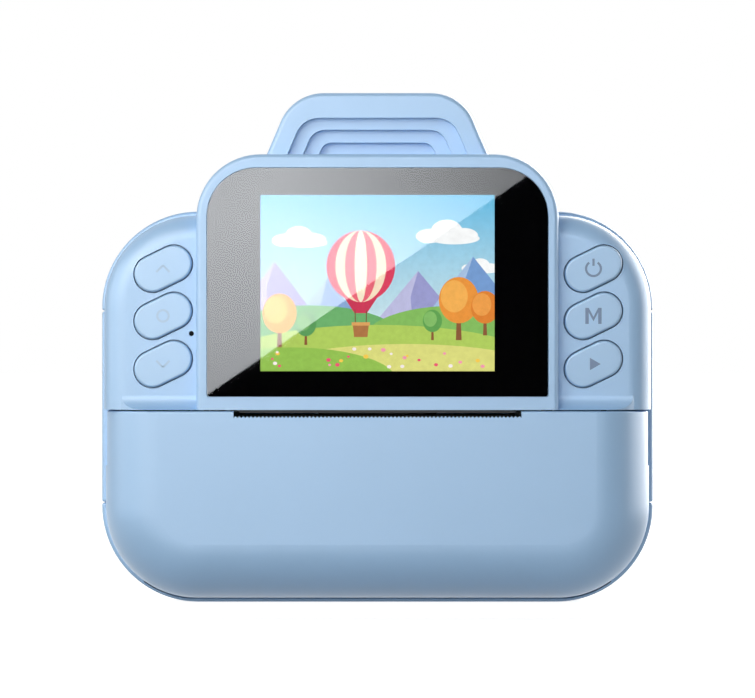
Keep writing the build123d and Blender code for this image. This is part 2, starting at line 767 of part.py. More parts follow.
def lens_dome():
    """The large rounded bezel around the lens, a hollow turned shell."""
    back_y = PLATE_FACE_Y - BASE_RING_THICKNESS + DOME_SEAT_DEPTH
    crown = DOME_RADIUS - DOME_ROUNDING
    shoulder_y = LENS_FRONT_Y + DOME_ROUNDING
    skirt = DOME_RADIUS - DOME_SKIRT_INSET
    skirt_y = back_y - DOME_SKIRT_HEIGHT
    outer = Polyline((DOME_BORE, back_y), (skirt, back_y), (skirt, skirt_y))
    side = Polyline((skirt, skirt_y), (DOME_RADIUS, skirt_y), (DOME_RADIUS, shoulder_y))
    rounding = RadiusArc((DOME_RADIUS, shoulder_y), (crown, LENS_FRONT_Y), DOME_ROUNDING)
    front = Polyline(
        (crown, LENS_FRONT_Y),
        (DOME_BORE + DOME_LIP, LENS_FRONT_Y),
        (DOME_BORE, LENS_FRONT_Y + DOME_LIP),
        (DOME_BORE, back_y),
    )
    shell = turned_about_lens(make_face([outer, side, rounding, front]))
    hollow = polygon(
        [
            (DOME_BORE + DOME_INNER_WALL, back_y + BEYOND),
            (DOME_RADIUS - DOME_WALL, back_y + BEYOND),
            (DOME_RADIUS - DOME_WALL, shoulder_y),
            (crown + 1, LENS_FRONT_Y + DOME_WALL),
            (DOME_BORE + DOME_INNER_WALL, LENS_FRONT_Y + DOME_WALL),
        ]
    )
    return shell - turned_about_lens(hollow)


def lens_trim_ring():
    """The narrow bright ring inside the bezel."""
    face_y = LENS_FRONT_Y + TRIM_RING_RECESS
    profile = polygon(
        [
            (TRIM_RING_BORE, face_y + TRIM_RING_EDGE),
            (TRIM_RING_BORE + TRIM_RING_EDGE, face_y),
            (DOME_BORE - TRIM_RING_GAP, face_y),
            (DOME_BORE - FIT, face_y + TRIM_RING_BEVEL),
            (DOME_BORE - FIT, face_y + TRIM_RING_DEPTH),
            (TRIM_RING_BORE, face_y + TRIM_RING_DEPTH),
        ]
    )
    return turned_about_lens(profile)


def lens_baffle():
    """The funnel of fine concentric steps between the trim ring and the front lens."""
    top_y = LENS_FRONT_Y + BAFFLE_RECESS
    outer = TRIM_RING_BORE - FIT
    pitch = (outer - BAFFLE_BORE) / BAFFLE_STEPS
    drop = BAFFLE_DEPTH / BAFFLE_STEPS
    points = []
    for step in range(BAFFLE_STEPS):
        radius = outer - step * pitch
        y = top_y + step * drop
        points.append((radius, y))
        land, floor_start, floor_end = (radius - share * pitch for share in BAFFLE_GROOVE)
        points.append((land, y))
        points.append((floor_start, y + BAFFLE_GROOVE_DROP * drop))
        points.append((floor_end, y + BAFFLE_GROOVE_DROP * drop))
    inner_y = top_y + BAFFLE_DEPTH
    points.append((BAFFLE_BORE, inner_y))
    points.append((BAFFLE_BORE, inner_y + BAFFLE_WALL + BAFFLE_RIM))
    points.append((outer - BAFFLE_WALL, top_y + BAFFLE_WALL + BAFFLE_FLOOR))
    points.append((outer - BAFFLE_WALL, PLATE_FACE_Y))
    points.append((outer, PLATE_FACE_Y))
    return turned_about_lens(polygon(points))


def lens_barrel():
    """The black barrel that carries the glass, with a flange behind the front plate."""
    front_y = LENS_FRONT_Y + BAFFLE_RECESS + BAFFLE_DEPTH + BAFFLE_WALL + BAFFLE_RIM
    lens_seat_y = front_y + FRONT_LENS_THICKNESS
    flange_front, flange_back = BARREL_FLANGE
    flange_radius = LENS_PASSAGE_RADIUS - 1
    profile = polygon(
        [
            (FRONT_LENS_RADIUS, front_y),
            (BARREL_RADIUS, front_y),
            (BARREL_RADIUS, FRONT_FACE_Y + flange_front),
            (flange_radius, FRONT_FACE_Y + flange_front),
            (flange_radius, FRONT_FACE_Y + flange_back),
            (BARREL_RADIUS, FRONT_FACE_Y + flange_back),
            (BARREL_RADIUS, SENSOR_Y - SENSOR_CLEARANCE),
            (REAR_LENS_RADIUS, SENSOR_Y - SENSOR_CLEARANCE),
            (REAR_LENS_RADIUS, lens_seat_y + BARREL_STEP_DEPTH),
            (BARREL_STEP_RADIUS, lens_seat_y + BARREL_STEP_DEPTH),
            (BARREL_STEP_RADIUS, lens_seat_y),
            (FRONT_LENS_RADIUS, lens_seat_y),
        ]
    )
    return turned_about_lens(profile)


def lens_retainer_ring():
    """The thin ring that holds the front lens in the baffle."""
    front_y = LENS_FRONT_Y + BAFFLE_RECESS + BAFFLE_DEPTH
    seat_y = front_y + BAFFLE_WALL + BAFFLE_RIM
    profile = polygon(
        [
            (FRONT_LENS_RADIUS - RETAINER_LIP, front_y),
            (BAFFLE_BORE - FIT, front_y),
            (BAFFLE_BORE - FIT, seat_y),
            (FRONT_LENS_RADIUS - RETAINER_LIP, seat_y),
        ]
    )
    return turned_about_lens(profile)


def front_lens():
    """The convex front lens."""
    seat_y = LENS_FRONT_Y + BAFFLE_RECESS + BAFFLE_DEPTH + BAFFLE_WALL + BAFFLE_RIM
    edge = FRONT_LENS_RADIUS - FIT
    crown = (0, seat_y - FRONT_LENS_BULGE)
    land = (edge - FRONT_LENS_LAND, seat_y)
    halfway = (edge / 2, seat_y - 0.75 * FRONT_LENS_BULGE)
    back_y = seat_y + FRONT_LENS_THICKNESS
    rest = Polyline(land, (edge, seat_y), (edge, back_y), (0, back_y), crown)
    profile = make_face([ThreePointArc(crown, halfway, land), rest])
    return turned_about_lens(profile)


def rear_lens():
    """The small second lens in the barrel."""
    front_y = REAR_LENS_FRONT_Y
    edge = REAR_LENS_RADIUS - FIT
    crown = (0, front_y - REAR_LENS_BULGE)
    halfway = (edge / 2, front_y - 0.75 * REAR_LENS_BULGE)
    back_y = front_y + REAR_LENS_THICKNESS
    rest = Polyline((edge, front_y), (edge, back_y), (0, back_y), crown)
    profile = make_face([ThreePointArc(crown, halfway, (edge, front_y)), rest])
    return turned_about_lens(profile)


def sensor_board():
    """The small board with the image sensor, behind the barrel."""
    board_y = SENSOR_Y + BOARD_THICKNESS / 2
    half = SENSOR_BOARD_HALF_WIDTH
    board = Pos(0, board_y, LENS_Z) * Box(2 * half, BOARD_THICKNESS, 2 * half)
    chip_y = SENSOR_Y - SENSOR_HEIGHT / 2
    chip = Box(2 * SENSOR_HALF_WIDTH, SENSOR_HEIGHT, 2 * SENSOR_HALF_WIDTH)
    return board + Pos(0, chip_y, LENS_Z) * chip


# --- Rear housing ---------------------------------------------------------------------------
def rear_pillow(face_y, rounding, wall=0.0):
    """The rounded form of the back, or its inside when a wall is given."""
    front_y = PARTING_Y + SEAM_GAP if wall == 0 else PARTING_Y
    form = slab(
        WIDTH - 2 * (REAR_INSET + wall),
        REAR_INSET + wall,
        BODY_HEIGHT - REAR_INSET - wall,
        BODY_CORNER - REAR_INSET - wall,
        front_y,
        face_y - wall,
    )
    return fillet(edges_at_y(form, face_y - wall), rounding - wall)


def glass_outline(clearance):
    """The screen outline: large rounded corners above, nearly square ones below."""
    half = GLASS_WIDTH / 2 - clearance
    face = polygon(
        [
            (-half, GLASS_BOTTOM_Z + clearance),
            (half, GLASS_BOTTOM_Z + clearance),
            (half, GLASS_TOP_Z - clearance),
            (-half, GLASS_TOP_Z - clearance),
        ]
    )
    corners = face.vertices().sort_by(Axis.Y)
    face = fillet(corners[-2:], GLASS_TOP_CORNER - clearance)
    return fillet(face.vertices().sort_by(Axis.Y)[:2], GLASS_BOTTOM_CORNER)


def rear_outer():
    """The outside of the rear housing: button panels, ramp and raised screen block."""
    panels = rear_pillow(PANEL_FACE_Y, PANEL_ROUNDING) & above(DOOR_TOP_Z)
    step = BACK_FACE_Y - PANEL_FACE_Y
    ramp = rear_pillow(BACK_FACE_Y, DOOR_ROUNDING) & above(DOOR_TOP_Z) & below(RAMP_TOP_Z)
    ramp -= rod_x(step, -WIDTH, WIDTH, BACK_FACE_Y, RAMP_TOP_Z)
    screen_block = slab(
        BLOCK_WIDTH,
        BLOCK_BOTTOM_Z,
        BLOCK_TOP_Z,
        BLOCK_CORNER,
        PARTING_Y + SEAM_GAP,
        BACK_FACE_Y,
    )
    screen_block = fillet(edges_at_y(screen_block, BACK_FACE_Y), BLOCK_EDGE)
    screen_block = fillet(edges_at_y(screen_block, PARTING_Y + SEAM_GAP), SEAM_ROUNDING)
    return panels + ramp + (screen_block & above(DOOR_TOP_Z))


def rear_cavity():
    """The space inside the rear housing."""
    panels = rear_pillow(PANEL_FACE_Y, PANEL_ROUNDING, WALL)
    screen_block = slab(
        BLOCK_WIDTH - 2 * WALL,
        BLOCK_BOTTOM_Z,
        BLOCK_TOP_Z - WALL,
        BLOCK_CORNER - WALL,
        PARTING_Y,
        BACK_FACE_Y - WALL,
    )
    return panels + screen_block


def rear_housing():
    """The upper back: a shell with the screen window and the six button holes."""
    outer = rear_outer()
    housing = outer - rear_cavity()
    for x in (-HOUSING_SCREW_X, HOUSING_SCREW_X):
        post = rod_y(
            POST_RADIUS, PARTING_Y + SEAM_GAP, BACK_FACE_Y - THIN_WALL, x, HOUSING_SCREW_Z
        )
        housing += post & outer
        pilot_end = HOUSING_SCREW_HEAD_Y + HOUSING_SCREW_LENGTH + HOUSING_PILOT_END
        housing -= rod_y(HOUSING_SCREW_RADIUS, PARTING_Y - BEYOND, pilot_end, x, HOUSING_SCREW_Z)
    for x, z in BUTTON_BOARD_POSTS:
        post = rod_y(BUTTON_POST_RADIUS, BUTTON_BOARD_Y + BOARD_THICKNESS, PANEL_FACE_Y, x, z)
        for copy in both_sides(post):
            housing += copy & outer
    pocket_y = BACK_FACE_Y - GLASS_RECESS - GLASS_THICKNESS
    housing -= along_y(glass_outline(0.0), pocket_y, BACK_FACE_Y + BEYOND)
    half_window = LCD_WIDTH / 2 + LCD_CLEARANCE
    window = LCD_HEIGHT / 2 + LCD_CLEARANCE
    housing -= box_between(
        (-half_window, half_window),
        (BACK_FACE_Y - WALL - BEYOND, pocket_y + BEYOND),
        (LCD_CENTRE_Z - window, LCD_CENTRE_Z + window),
    )
    inner_y = PANEL_FACE_Y - WALL
    for x in BUTTON_NAMES:
        for z in BUTTON_HEIGHTS:
            housing -= button_prism(x, z, BUTTON_GAP, inner_y - BEYOND, PANEL_FACE_Y + BEYOND)
    housing -= rod_y(MIC_HOLE_RADIUS, inner_y - BEYOND, PANEL_FACE_Y + BEYOND, MIC_X, MIC_Z)
    return housing


def screen_glass():
    """The glass that covers the screen, set just below the face of the block."""
    back_y = BACK_FACE_Y - GLASS_RECESS - GLASS_THICKNESS
    return along_y(glass_outline(GLASS_CLEARANCE), back_y, BACK_FACE_Y - GLASS_RECESS)


def lcd_panel():
    """The display module, tight behind the glass."""
    back_y = BACK_FACE_Y - GLASS_RECESS - GLASS_THICKNESS - LCD_GAP
    return box_between(
        (-LCD_WIDTH / 2, LCD_WIDTH / 2),
        (back_y - LCD_THICKNESS, back_y),
        (LCD_CENTRE_Z - LCD_HEIGHT / 2, LCD_CENTRE_Z + LCD_HEIGHT / 2),
    )


def lcd_flex():
    """The flat cable from the display to the main board."""
    lcd_back_y = BACK_FACE_Y - GLASS_RECESS - GLASS_THICKNESS - LCD_GAP - LCD_THICKNESS
    on_lcd_y = lcd_back_y - FLEX_THICKNESS / 2
    on_board_y = MAIN_BOARD_Y + MAIN_BOARD_THICKNESS + FLEX_THICKNESS / 2
    route = Polyline(
        (on_lcd_y, FLEX_TOP_Z),
        (on_lcd_y, FLEX_BEND_Z),
        (lcd_back_y - FLEX_BEND, FLEX_LOW_Z),
        (MAIN_BOARD_Y + MAIN_BOARD_THICKNESS + FLEX_BEND, FLEX_LOW_Z),
        (on_board_y, FLEX_BEND_Z),
        (on_board_y, FLEX_TOP_Z),
    )
    return along_x(trace(route, line_width=FLEX_THICKNESS), -FLEX_HALF_WIDTH, FLEX_HALF_WIDTH)


# --- Buttons --------------------------------------------------------------------------------
def button_prism(x, z, margin, y_from, y_to):
    """A tilted capsule along Y, larger than a button cap by a margin all round."""
    outline = SlotOverall(
        BUTTON_LENGTH + 2 * margin, BUTTON_WIDTH + 2 * margin, rotation=-BUTTON_TILT
    )
    return along_y(Pos(x, z) * outline, y_from, y_to)


def button(x, z):
    """A capsule button: cap, inner flange and the stem over its switch."""
    face_y = PANEL_FACE_Y + BUTTON_PROUD
    flange_y = PANEL_FACE_Y - WALL - FLANGE_GAP
    inner_y = flange_y - FLANGE_THICKNESS
    cap = button_prism(x, z, 0.0, flange_y, face_y)
    cap = fillet(edges_at_y(cap, face_y), BUTTON_EDGE)
    flange = button_prism(x, z, BUTTON_FLANGE, inner_y, flange_y)
    flange &= rear_pillow(PANEL_FACE_Y, PANEL_ROUNDING, WALL + FLANGE_CLEARANCE)
    stem = rod_y(STEM_RADIUS, SWITCH_TOP_Y + BUTTON_TRAVEL + STEM_GAP, inner_y + STEM_SINK, x, z)
    return cap + flange + stem


def button_board(x):
    """The narrow board behind a column of buttons."""
    board = box_between(
        (x - BUTTON_BOARD_HALF_WIDTH, x + BUTTON_BOARD_HALF_WIDTH),
        (BUTTON_BOARD_Y, BUTTON_BOARD_Y + BOARD_THICKNESS),
        BUTTON_BOARD_Z_RANGE,
    )
    return board & rear_pillow(PANEL_FACE_Y, PANEL_ROUNDING, WALL + FLANGE_GAP)


def button_switches():
    """The six tactile switches behind the back buttons."""
    switches = []
    base_y = BUTTON_BOARD_Y + BOARD_THICKNESS
    case_top_y = SWITCH_TOP_Y - PLUNGER_HEIGHT
    half = SWITCH_WIDTH / 2
    for x in BUTTON_NAMES:
        for z in BUTTON_HEIGHTS:
            case = box_between((x - half, x + half), (base_y, case_top_y), (z - half, z + half))
            switches.append(case + rod_y(STEM_RADIUS, case_top_y, SWITCH_TOP_Y, x, z))
    return Compound(children=switches)


def shutter_button():
    """The round button in the shoulder, its face following the curve."""
    arc_x = -(WIDTH / 2 - BODY_CORNER)
    arc_z = BODY_HEIGHT - BODY_CORNER
    cap = shutter_rod(SHUTTER_RADIUS, -WALL - SHUTTER_CAP_DEPTH, SHUTTER_REACH)
    cap &= rod_y(
        BODY_CORNER + SHUTTER_PROUD,
        SHUTTER_Y - SHUTTER_CAP_REACH,
        SHUTTER_Y + SHUTTER_CAP_REACH,
        arc_x,
        arc_z,
    )
    flange_low, flange_high = (-WALL - depth for depth in SHUTTER_FLANGE_DEPTHS)
    stem_low, stem_high = (-WALL - depth for depth in SHUTTER_STEM_DEPTHS)
    flange = shutter_rod(SHUTTER_RADIUS + SHUTTER_FLANGE, flange_low, flange_high)
    stem = shutter_rod(STEM_RADIUS, stem_low, stem_high)
    return cap + flange + stem


def shutter_switch():
    """The shutter switch on its small board."""
    top = -WALL - SHUTTER_STEM_DEPTHS[0] - SHUTTER_TRAVEL - STEM_GAP
    case_top = top - PLUNGER_HEIGHT
    case_bottom = case_top - SHUTTER_CASE_HEIGHT
    board_bottom = -WALL - SHUTTER_BOARD_DEPTH
    plunger = shutter_rod(STEM_RADIUS, case_top, top)
    case_outline = shutter_plane().offset(case_bottom) * Rectangle(SWITCH_WIDTH, SWITCH_WIDTH)
    case = extrude(case_outline, amount=SHUTTER_CASE_HEIGHT)
    board_plane = shutter_plane().offset(board_bottom)
    board = extrude(board_plane * Rectangle(*SHUTTER_BOARD_SIZE), amount=BOARD_THICKNESS)
    foot_outline = board_plane * Rectangle(SHUTTER_FOOT_WIDTH, SHUTTER_FOOT_WIDTH)
    foot = extrude(foot_outline, amount=case_bottom - board_bottom)
    return plunger + case + board + foot


# --- Sound ----------------------------------------------------------------------------------
def speaker():
    """The small round loudspeaker behind the speaker holes."""
    frame_back_y = SPEAKER_FRONT_Y + SPEAKER_FRAME_DEPTH
    frame = rod_y(SPEAKER_RADIUS, SPEAKER_FRONT_Y, frame_back_y, SPEAKER_X, SPEAKER_Z)
    magnet_back_y = frame_back_y + MAGNET_DEPTH
    magnet_radius = SPEAKER_RADIUS - MAGNET_INSET
    return frame + rod_y(magnet_radius, frame_back_y, magnet_back_y, SPEAKER_X, SPEAKER_Z)


def microphone():
    """The microphone behind its pinhole in the rear housing."""
    inner_y = PANEL_FACE_Y - WALL
    return rod_y(MIC_RADIUS, inner_y - MIC_LENGTH, inner_y, MIC_X, MIC_Z)


# --- Side ports -----------------------------------------------------------------------------
def side_board():
    """The upright board that carries the USB port and the card reader."""
    y_range = (PORT_BOARD_Y, PORT_BOARD_Y + BOARD_THICKNESS)
    return box_between(SIDE_BOARD_X_RANGE, y_range, SIDE_BOARD_Z_RANGE)


def usb_port():
    """The USB-C socket: an open metal sleeve with a tongue inside."""
    y = PORT_BOARD_Y - USB_HEIGHT / 2
    mouth_x = WIDTH / 2 - USB_RECESS
    outline = Pos(y, USB_Z) * SlotOverall(USB_WIDTH, USB_HEIGHT, rotation=90)
    sleeve = along_x(outline, mouth_x - USB_LENGTH, mouth_x)
    bore_width = USB_WIDTH - 2 * USB_SHELL
    bore_height = USB_HEIGHT - 2 * USB_SHELL
    bore = Pos(y, USB_Z) * SlotOverall(bore_width, bore_height, rotation=90)
    sleeve -= along_x(bore, mouth_x - USB_BORE_DEPTH, mouth_x + BEYOND)
    root, tip = USB_TONGUE
    tongue = box_between(
        (mouth_x - root, mouth_x - tip),
        (y - USB_TONGUE_HALF_HEIGHT, y + USB_TONGUE_HALF_HEIGHT),
        (USB_Z - USB_TONGUE_HALF_WIDTH, USB_Z + USB_TONGUE_HALF_WIDTH),
    )
    return sleeve + tongue


def card_reader():
    """The memory card socket: a flat metal box, open towards the side."""
    mouth_x = WIDTH / 2 - WALL - CARD_READER_GAP
    back_x = mouth_x - CARD_READER_LENGTH
    low_y = PORT_BOARD_Y - CARD_HEIGHT
    half = CARD_WIDTH / 2 + CARD_READER_MARGIN
    inner_half = half - CARD_READER_SIDE_WALL
    reader = box_between((back_x, mouth_x), (low_y, PORT_BOARD_Y), (CARD_Z - half, CARD_Z + half))
    reader -= box_between(
        (back_x + 1, mouth_x + BEYOND),
        (low_y + CARD_READER_WALL, PORT_BOARD_Y - CARD_READER_WALL),
        (CARD_Z - inner_half, CARD_Z + inner_half),
    )
    return reader


# --- Printer --------------------------------------------------------------------------------
def door_outer():
    """The outside of the lower back door."""
    top_z = DOOR_TOP_Z - SEAM_GAP
    door = rear_pillow(BACK_FACE_Y, DOOR_ROUNDING) & below(top_z)
    edges = [edge for edge in edges_at_z(door, top_z) if edge.center().Y > PARTING_Y + BEYOND]
    return fillet(edges, SEAM_ROUNDING)


def tear_edge():
    """The row of teeth along the door's top edge that the paper is torn against."""
    tip_z = DOOR_TOP_Z - SLOT_HEIGHT
    root_z = tip_z - TOOTH_HEIGHT
    pitch = 2 * SLOT_HALF_WIDTH / TOOTH_COUNT
    foot_z = root_z - TEAR_EDGE_ROOT
    points = [(-SLOT_HALF_WIDTH, foot_z), (-SLOT_HALF_WIDTH, root_z)]
    for tooth in range(TOOTH_COUNT):
        left = -SLOT_HALF_WIDTH + tooth * pitch
        points.append((left + pitch / 2, tip_z))
        points.append((left + pitch, root_z))
    points.append((SLOT_HALF_WIDTH, foot_z))
    outer_y = BACK_FACE_Y - TEAR_EDGE_RECESS
    return along_y(polygon(points), outer_y - TEAR_EDGE_THICKNESS, outer_y)


def paper_door():
    """The door over the paper bay: a pillow shell with hinge lugs and platen arms."""
    outer = door_outer()
    door = outer - rear_pillow(BACK_FACE_Y, DOOR_ROUNDING, DOOR_WALL)
    slot_root_z = DOOR_TOP_Z - SLOT_HEIGHT - TOOTH_HEIGHT
    slot_box = box_between(
        (-SLOT_HALF_WIDTH, SLOT_HALF_WIDTH), (PARTING_Y, BACK_FACE_Y + BEYOND), (slot_root_z, DOOR_TOP_Z)
    )
    door -= slot_box
    door += tear_edge()
    relief_from = CHASSIS_INNER_X - HINGE_SIDE_GAP
    relief_to = CHASSIS_OUTER_X + HINGE_RELIEF_SIDE
    lug_from = CHASSIS_OUTER_X + HINGE_SIDE_GAP
    lug_to = lug_from + LUG_WIDTH
    relief_radius = HINGE_BOSS_RADIUS + HINGE_RELIEF
    pin_way = HINGE_PIN_RADIUS + FIT
    arm_end = CHASSIS_OUTER_X + BEYOND
    for side in (-1, 1):
        door -= rod_x(relief_radius, side * relief_from, side * relief_to, HINGE_Y, HINGE_Z)
        lug = hinge_lug(side * lug_from, side * lug_to) & outer
        door += lug
        door += platen_arm(side) & outer
        door += catch_arm(side)
        door -= rod_x(pin_way, side * relief_from, side * (lug_to + BEYOND), HINGE_Y, HINGE_Z)
        door -= rod_x(BUSH_RADIUS, side * PLATEN_HALF_WIDTH, side * arm_end, PLATEN_Y, PLATEN_Z)
        door -= grip_recess(side)
    return door


def hinge_lug(x_from, x_to):
    """A lug on the door floor around the hinge pin."""
    round_end = rod_x(HINGE_BOSS_RADIUS, x_from, x_to, HINGE_Y, HINGE_Z)
    low_x, high_x = sorted((x_from, x_to))
    foot = box_between(
        (low_x, high_x),
        (HINGE_Y - HINGE_BOSS_RADIUS / 2, HINGE_Y + HINGE_BOSS_RADIUS),
        (REAR_INSET, HINGE_Z),
    )
    return round_end + foot


def platen_arm(side):
    """An arm on the inside of the door that carries one end of the platen."""
    low_x, high_x = sorted((side * PLATEN_ARM_INNER_X, side * CHASSIS_OUTER_X))
    eye = rod_x(ARM_EYE_RADIUS, low_x, high_x, PLATEN_Y, PLATEN_Z)
    web = box_between(
        (low_x, high_x),
        (PLATEN_Y, BACK_FACE_Y),
        (PLATEN_Z - ARM_WEB_LENGTH, PLATEN_Z + ARM_EYE_RADIUS),
    )
    return eye + web


def catch_arm(side):
    """A springy arm with a rounded nose that snaps into the front housing."""
    outer_x = WIDTH / 2 - REAR_INSET - DOOR_WALL + SINK
    low_x, high_x = sorted((side * (outer_x - CATCH_ARM_THICKNESS), side * outer_x))
    arm = box_between((low_x, high_x), CATCH_ARM_Y_RANGE, CATCH_ARM_Z_RANGE)
    nose = rod_y(CATCH_NOSE_RADIUS, *CATCH_NOSE_Y_RANGE, side * outer_x, sum(CATCH_ARM_Z_RANGE) / 2)
    return arm + nose


def grip_recess(side):
    """The shallow finger recess in the door's side, below its top edge."""
    face_x = WIDTH / 2 - REAR_INSET - GRIP_DEPTH
    low_x, high_x = sorted((side * face_x, side * (face_x + GRIP_OVERRUN)))
    return box_between(
        (low_x, high_x), (PARTING_Y, PARTING_Y + GRIP_REACH), (GRIP_BOTTOM_Z, DOOR_TOP_Z)
    )


def door_hinge_pins():
    """The two short steel pins that the door turns on."""
    start_x = CHASSIS_INNER_X + PIN_END_GAP
    end_x = CHASSIS_OUTER_X + PIN_OVERHANG
    pin = rod_x(HINGE_PIN_RADIUS, start_x, end_x, HINGE_Y, HINGE_Z)
    return Compound(children=both_sides(pin))


def chassis_plate(x_from, x_to):
    """One end plate of the printer chassis, with the leg down to the door hinge."""
    upper = polygon(
        [
            (CHASSIS_FRONT_Y, CHASSIS_BOTTOM_Z),
            (HINGE_Y - HINGE_BOSS_RADIUS, CHASSIS_BOTTOM_Z),
            (HINGE_Y - HINGE_BOSS_RADIUS, HINGE_Z),
            (HINGE_Y + HINGE_BOSS_RADIUS, HINGE_Z),
            (HINGE_Y + HINGE_BOSS_RADIUS, CHASSIS_STEP_Z_RANGE[0]),
            (CHASSIS_BACK_Y, CHASSIS_STEP_Z_RANGE[1]),
            (CHASSIS_BACK_Y, CHASSIS_TOP_Z),
            (CHASSIS_SLOPE_Y, CHASSIS_TOP_Z),
            (CHASSIS_FRONT_Y, CHASSIS_FRONT_TOP_Z),
        ]
    )
    plate = along_x(upper, x_from, x_to)
    return plate + rod_x(HINGE_BOSS_RADIUS, x_from, x_to, HINGE_Y, HINGE_Z)


def paper_trough():
    """The curved trough under and in front of the paper roll."""
    inner = ROLL_RADIUS + TROUGH_CLEARANCE
    ring = Pos(ROLL_Y, ROLL_Z) * (Circle(inner + TROUGH_WALL) - Circle(inner))
    trough = along_x(ring, -CHASSIS_INNER_X - SINK / 2, CHASSIS_INNER_X + SINK / 2)
    behind = box_between((-FAR, FAR), (TROUGH_BACK_Y, FAR), (-FAR, FAR))
    return trough - above(TROUGH_RIM_Z) - behind


def printer_chassis():
    """The frame that holds the roll, the print head and the gear train."""
    chassis = paper_trough()
    for side in (-1, 1):
        chassis += chassis_plate(side * CHASSIS_INNER_X, side * CHASSIS_OUTER_X)
    span = (-CHASSIS_OUTER_X, CHASSIS_OUTER_X)
    front_bar_y = (CHASSIS_FRONT_Y, CHASSIS_FRONT_Y + FRONT_BAR_DEPTH)
    chassis += box_between(span, front_bar_y, FRONT_BAR_Z_RANGE)
    chassis += box_between(span, TOP_BAR_Y_RANGE, TOP_BAR_Z_RANGE)
    boss_end = CHASSIS_FRONT_Y + CHASSIS_BOSS_DEPTH
    pilot_end = CHASSIS_FRONT_Y + CHASSIS_PILOT_DEPTH
    for x in (-CHASSIS_SCREW_X, CHASSIS_SCREW_X):
        chassis += rod_y(CHASSIS_BOSS_RADIUS, CHASSIS_FRONT_Y, boss_end, x, CHASSIS_SCREW_Z)
        chassis -= rod_y(
            CHASSIS_SCREW_RADIUS, CHASSIS_FRONT_Y - BEYOND, pilot_end, x, CHASSIS_SCREW_Z
        )
    through = (CHASSIS_INNER_X - BEYOND, CHASSIS_OUTER_X + BEYOND)
    for side in (-1, 1):
        chassis -= rod_x(HINGE_PIN_RADIUS, side * through[0], side * through[1], HINGE_Y, HINGE_Z)
    chassis -= rod_x(IDLER_PIN_RADIUS, *through, *IDLER_CENTRE)
    return chassis


def paper_roll():
    """The wound roll of thermal paper."""
    roll = rod_x(ROLL_RADIUS, -ROLL_WIDTH / 2, ROLL_WIDTH / 2, ROLL_Y, ROLL_Z)
    return roll - rod_x(CORE_RADIUS, -ROLL_WIDTH, ROLL_WIDTH, ROLL_Y, ROLL_Z)


def roll_core():
    """The plastic tube in the middle of the roll."""
    core = rod_x(CORE_RADIUS, -ROLL_WIDTH / 2, ROLL_WIDTH / 2, ROLL_Y, ROLL_Z)
    return core - rod_x(CORE_BORE, -ROLL_WIDTH, ROLL_WIDTH, ROLL_Y, ROLL_Z)


def platen_roller():
    """The rubber sleeve that pulls the paper past the print head."""
    sleeve = rod_x(PLATEN_RADIUS, -PLATEN_HALF_WIDTH, PLATEN_HALF_WIDTH, PLATEN_Y, PLATEN_Z)
    return sleeve - rod_x(PLATEN_SHAFT_RADIUS, -WIDTH, WIDTH, PLATEN_Y, PLATEN_Z)


def platen_shaft():
    """The steel shaft through the platen, long on the gear side."""
    start_x = -CHASSIS_OUTER_X - PLATEN_SHAFT_OVERHANG
    return rod_x(PLATEN_SHAFT_RADIUS, start_x, GEAR_BACK_X + SHAFT_OVERHANG, PLATEN_Y, PLATEN_Z)


def platen_bushes():
    """The two plain bearings between the platen shaft and the door arms."""
    bush = rod_x(BUSH_RADIUS, PLATEN_ARM_INNER_X, CHASSIS_OUTER_X, PLATEN_Y, PLATEN_Z)
    bush -= rod_x(PLATEN_SHAFT_RADIUS + FIT, 0, WIDTH, PLATEN_Y, PLATEN_Z)
    return Compound(children=both_sides(bush))


def thermal_head():
    """The ceramic print head above the platen."""
    return box_between(
        (-HEAD_HALF_WIDTH, HEAD_HALF_WIDTH),
        (HEAD_BACK_Y - HEAD_DEPTH, HEAD_BACK_Y),
        (HEAD_BOTTOM_Z, HEAD_BOTTOM_Z + HEAD_THICKNESS),
    )


def head_heatsink():
    """The metal plate that carries the print head."""
    low_z = HEAD_BOTTOM_Z + HEAD_THICKNESS
    half = HEAD_HALF_WIDTH + HEATSINK_OVERHANG
    return box_between(
        (-half, half),
        (HEAD_BACK_Y - HEAD_DEPTH - HEATSINK_LIP, HEAD_BACK_Y),
        (low_z, low_z + HEATSINK_THICKNESS),
    )


def head_leaf_spring():
    """The bent leaf spring from the chassis bar down onto the head."""
    top_z = CHASSIS_TOP_Z + SPRING_THICKNESS / 2
    touch_z = HEAD_BOTTOM_Z + HEAD_THICKNESS + HEATSINK_THICKNESS + SPRING_THICKNESS / 2
    heights = (top_z, top_z, touch_z, touch_z, touch_z + SPRING_TIP_LIFT)
    route = Polyline(*zip(SPRING_Y_STATIONS, heights))
    return along_x(
        trace(route, line_width=SPRING_THICKNESS), -SPRING_HALF_WIDTH, SPRING_HALF_WIDTH
    )


# --- Gear train -----------------------------------------------------------------------------
def gear_outline(teeth, phase):
    """A spur gear outline with straight-sided teeth; one tooth points to the phase angle."""
    pitch_radius = GEAR_MODULE * teeth / 2
    root = pitch_radius - TOOTH_ROOT * GEAR_MODULE
    tip = pitch_radius + TOOTH_TIP * GEAR_MODULE
    pitch_angle = 360 / teeth
    root_turn = TOOTH_ROOT_SHARE * pitch_angle
    tip_turn = TOOTH_TIP_SHARE * pitch_angle
    points = []
    for tooth in range(teeth):
        centre = phase + tooth * pitch_angle
        points.append(polar(root, centre - root_turn))
        points.append(polar(tip, centre - tip_turn))
        points.append(polar(tip, centre + tip_turn))
        points.append(polar(root, centre + root_turn))
    return polygon(points)


def mesh_phase(phase, teeth, direction, partner_teeth):
    """The phase of a partner gear, met in a given direction, so that the teeth interleave."""
    offset = ((direction - phase) / (360 / teeth)) % 1
    return direction + 180 - (0.5 - offset) * 360 / partner_teeth


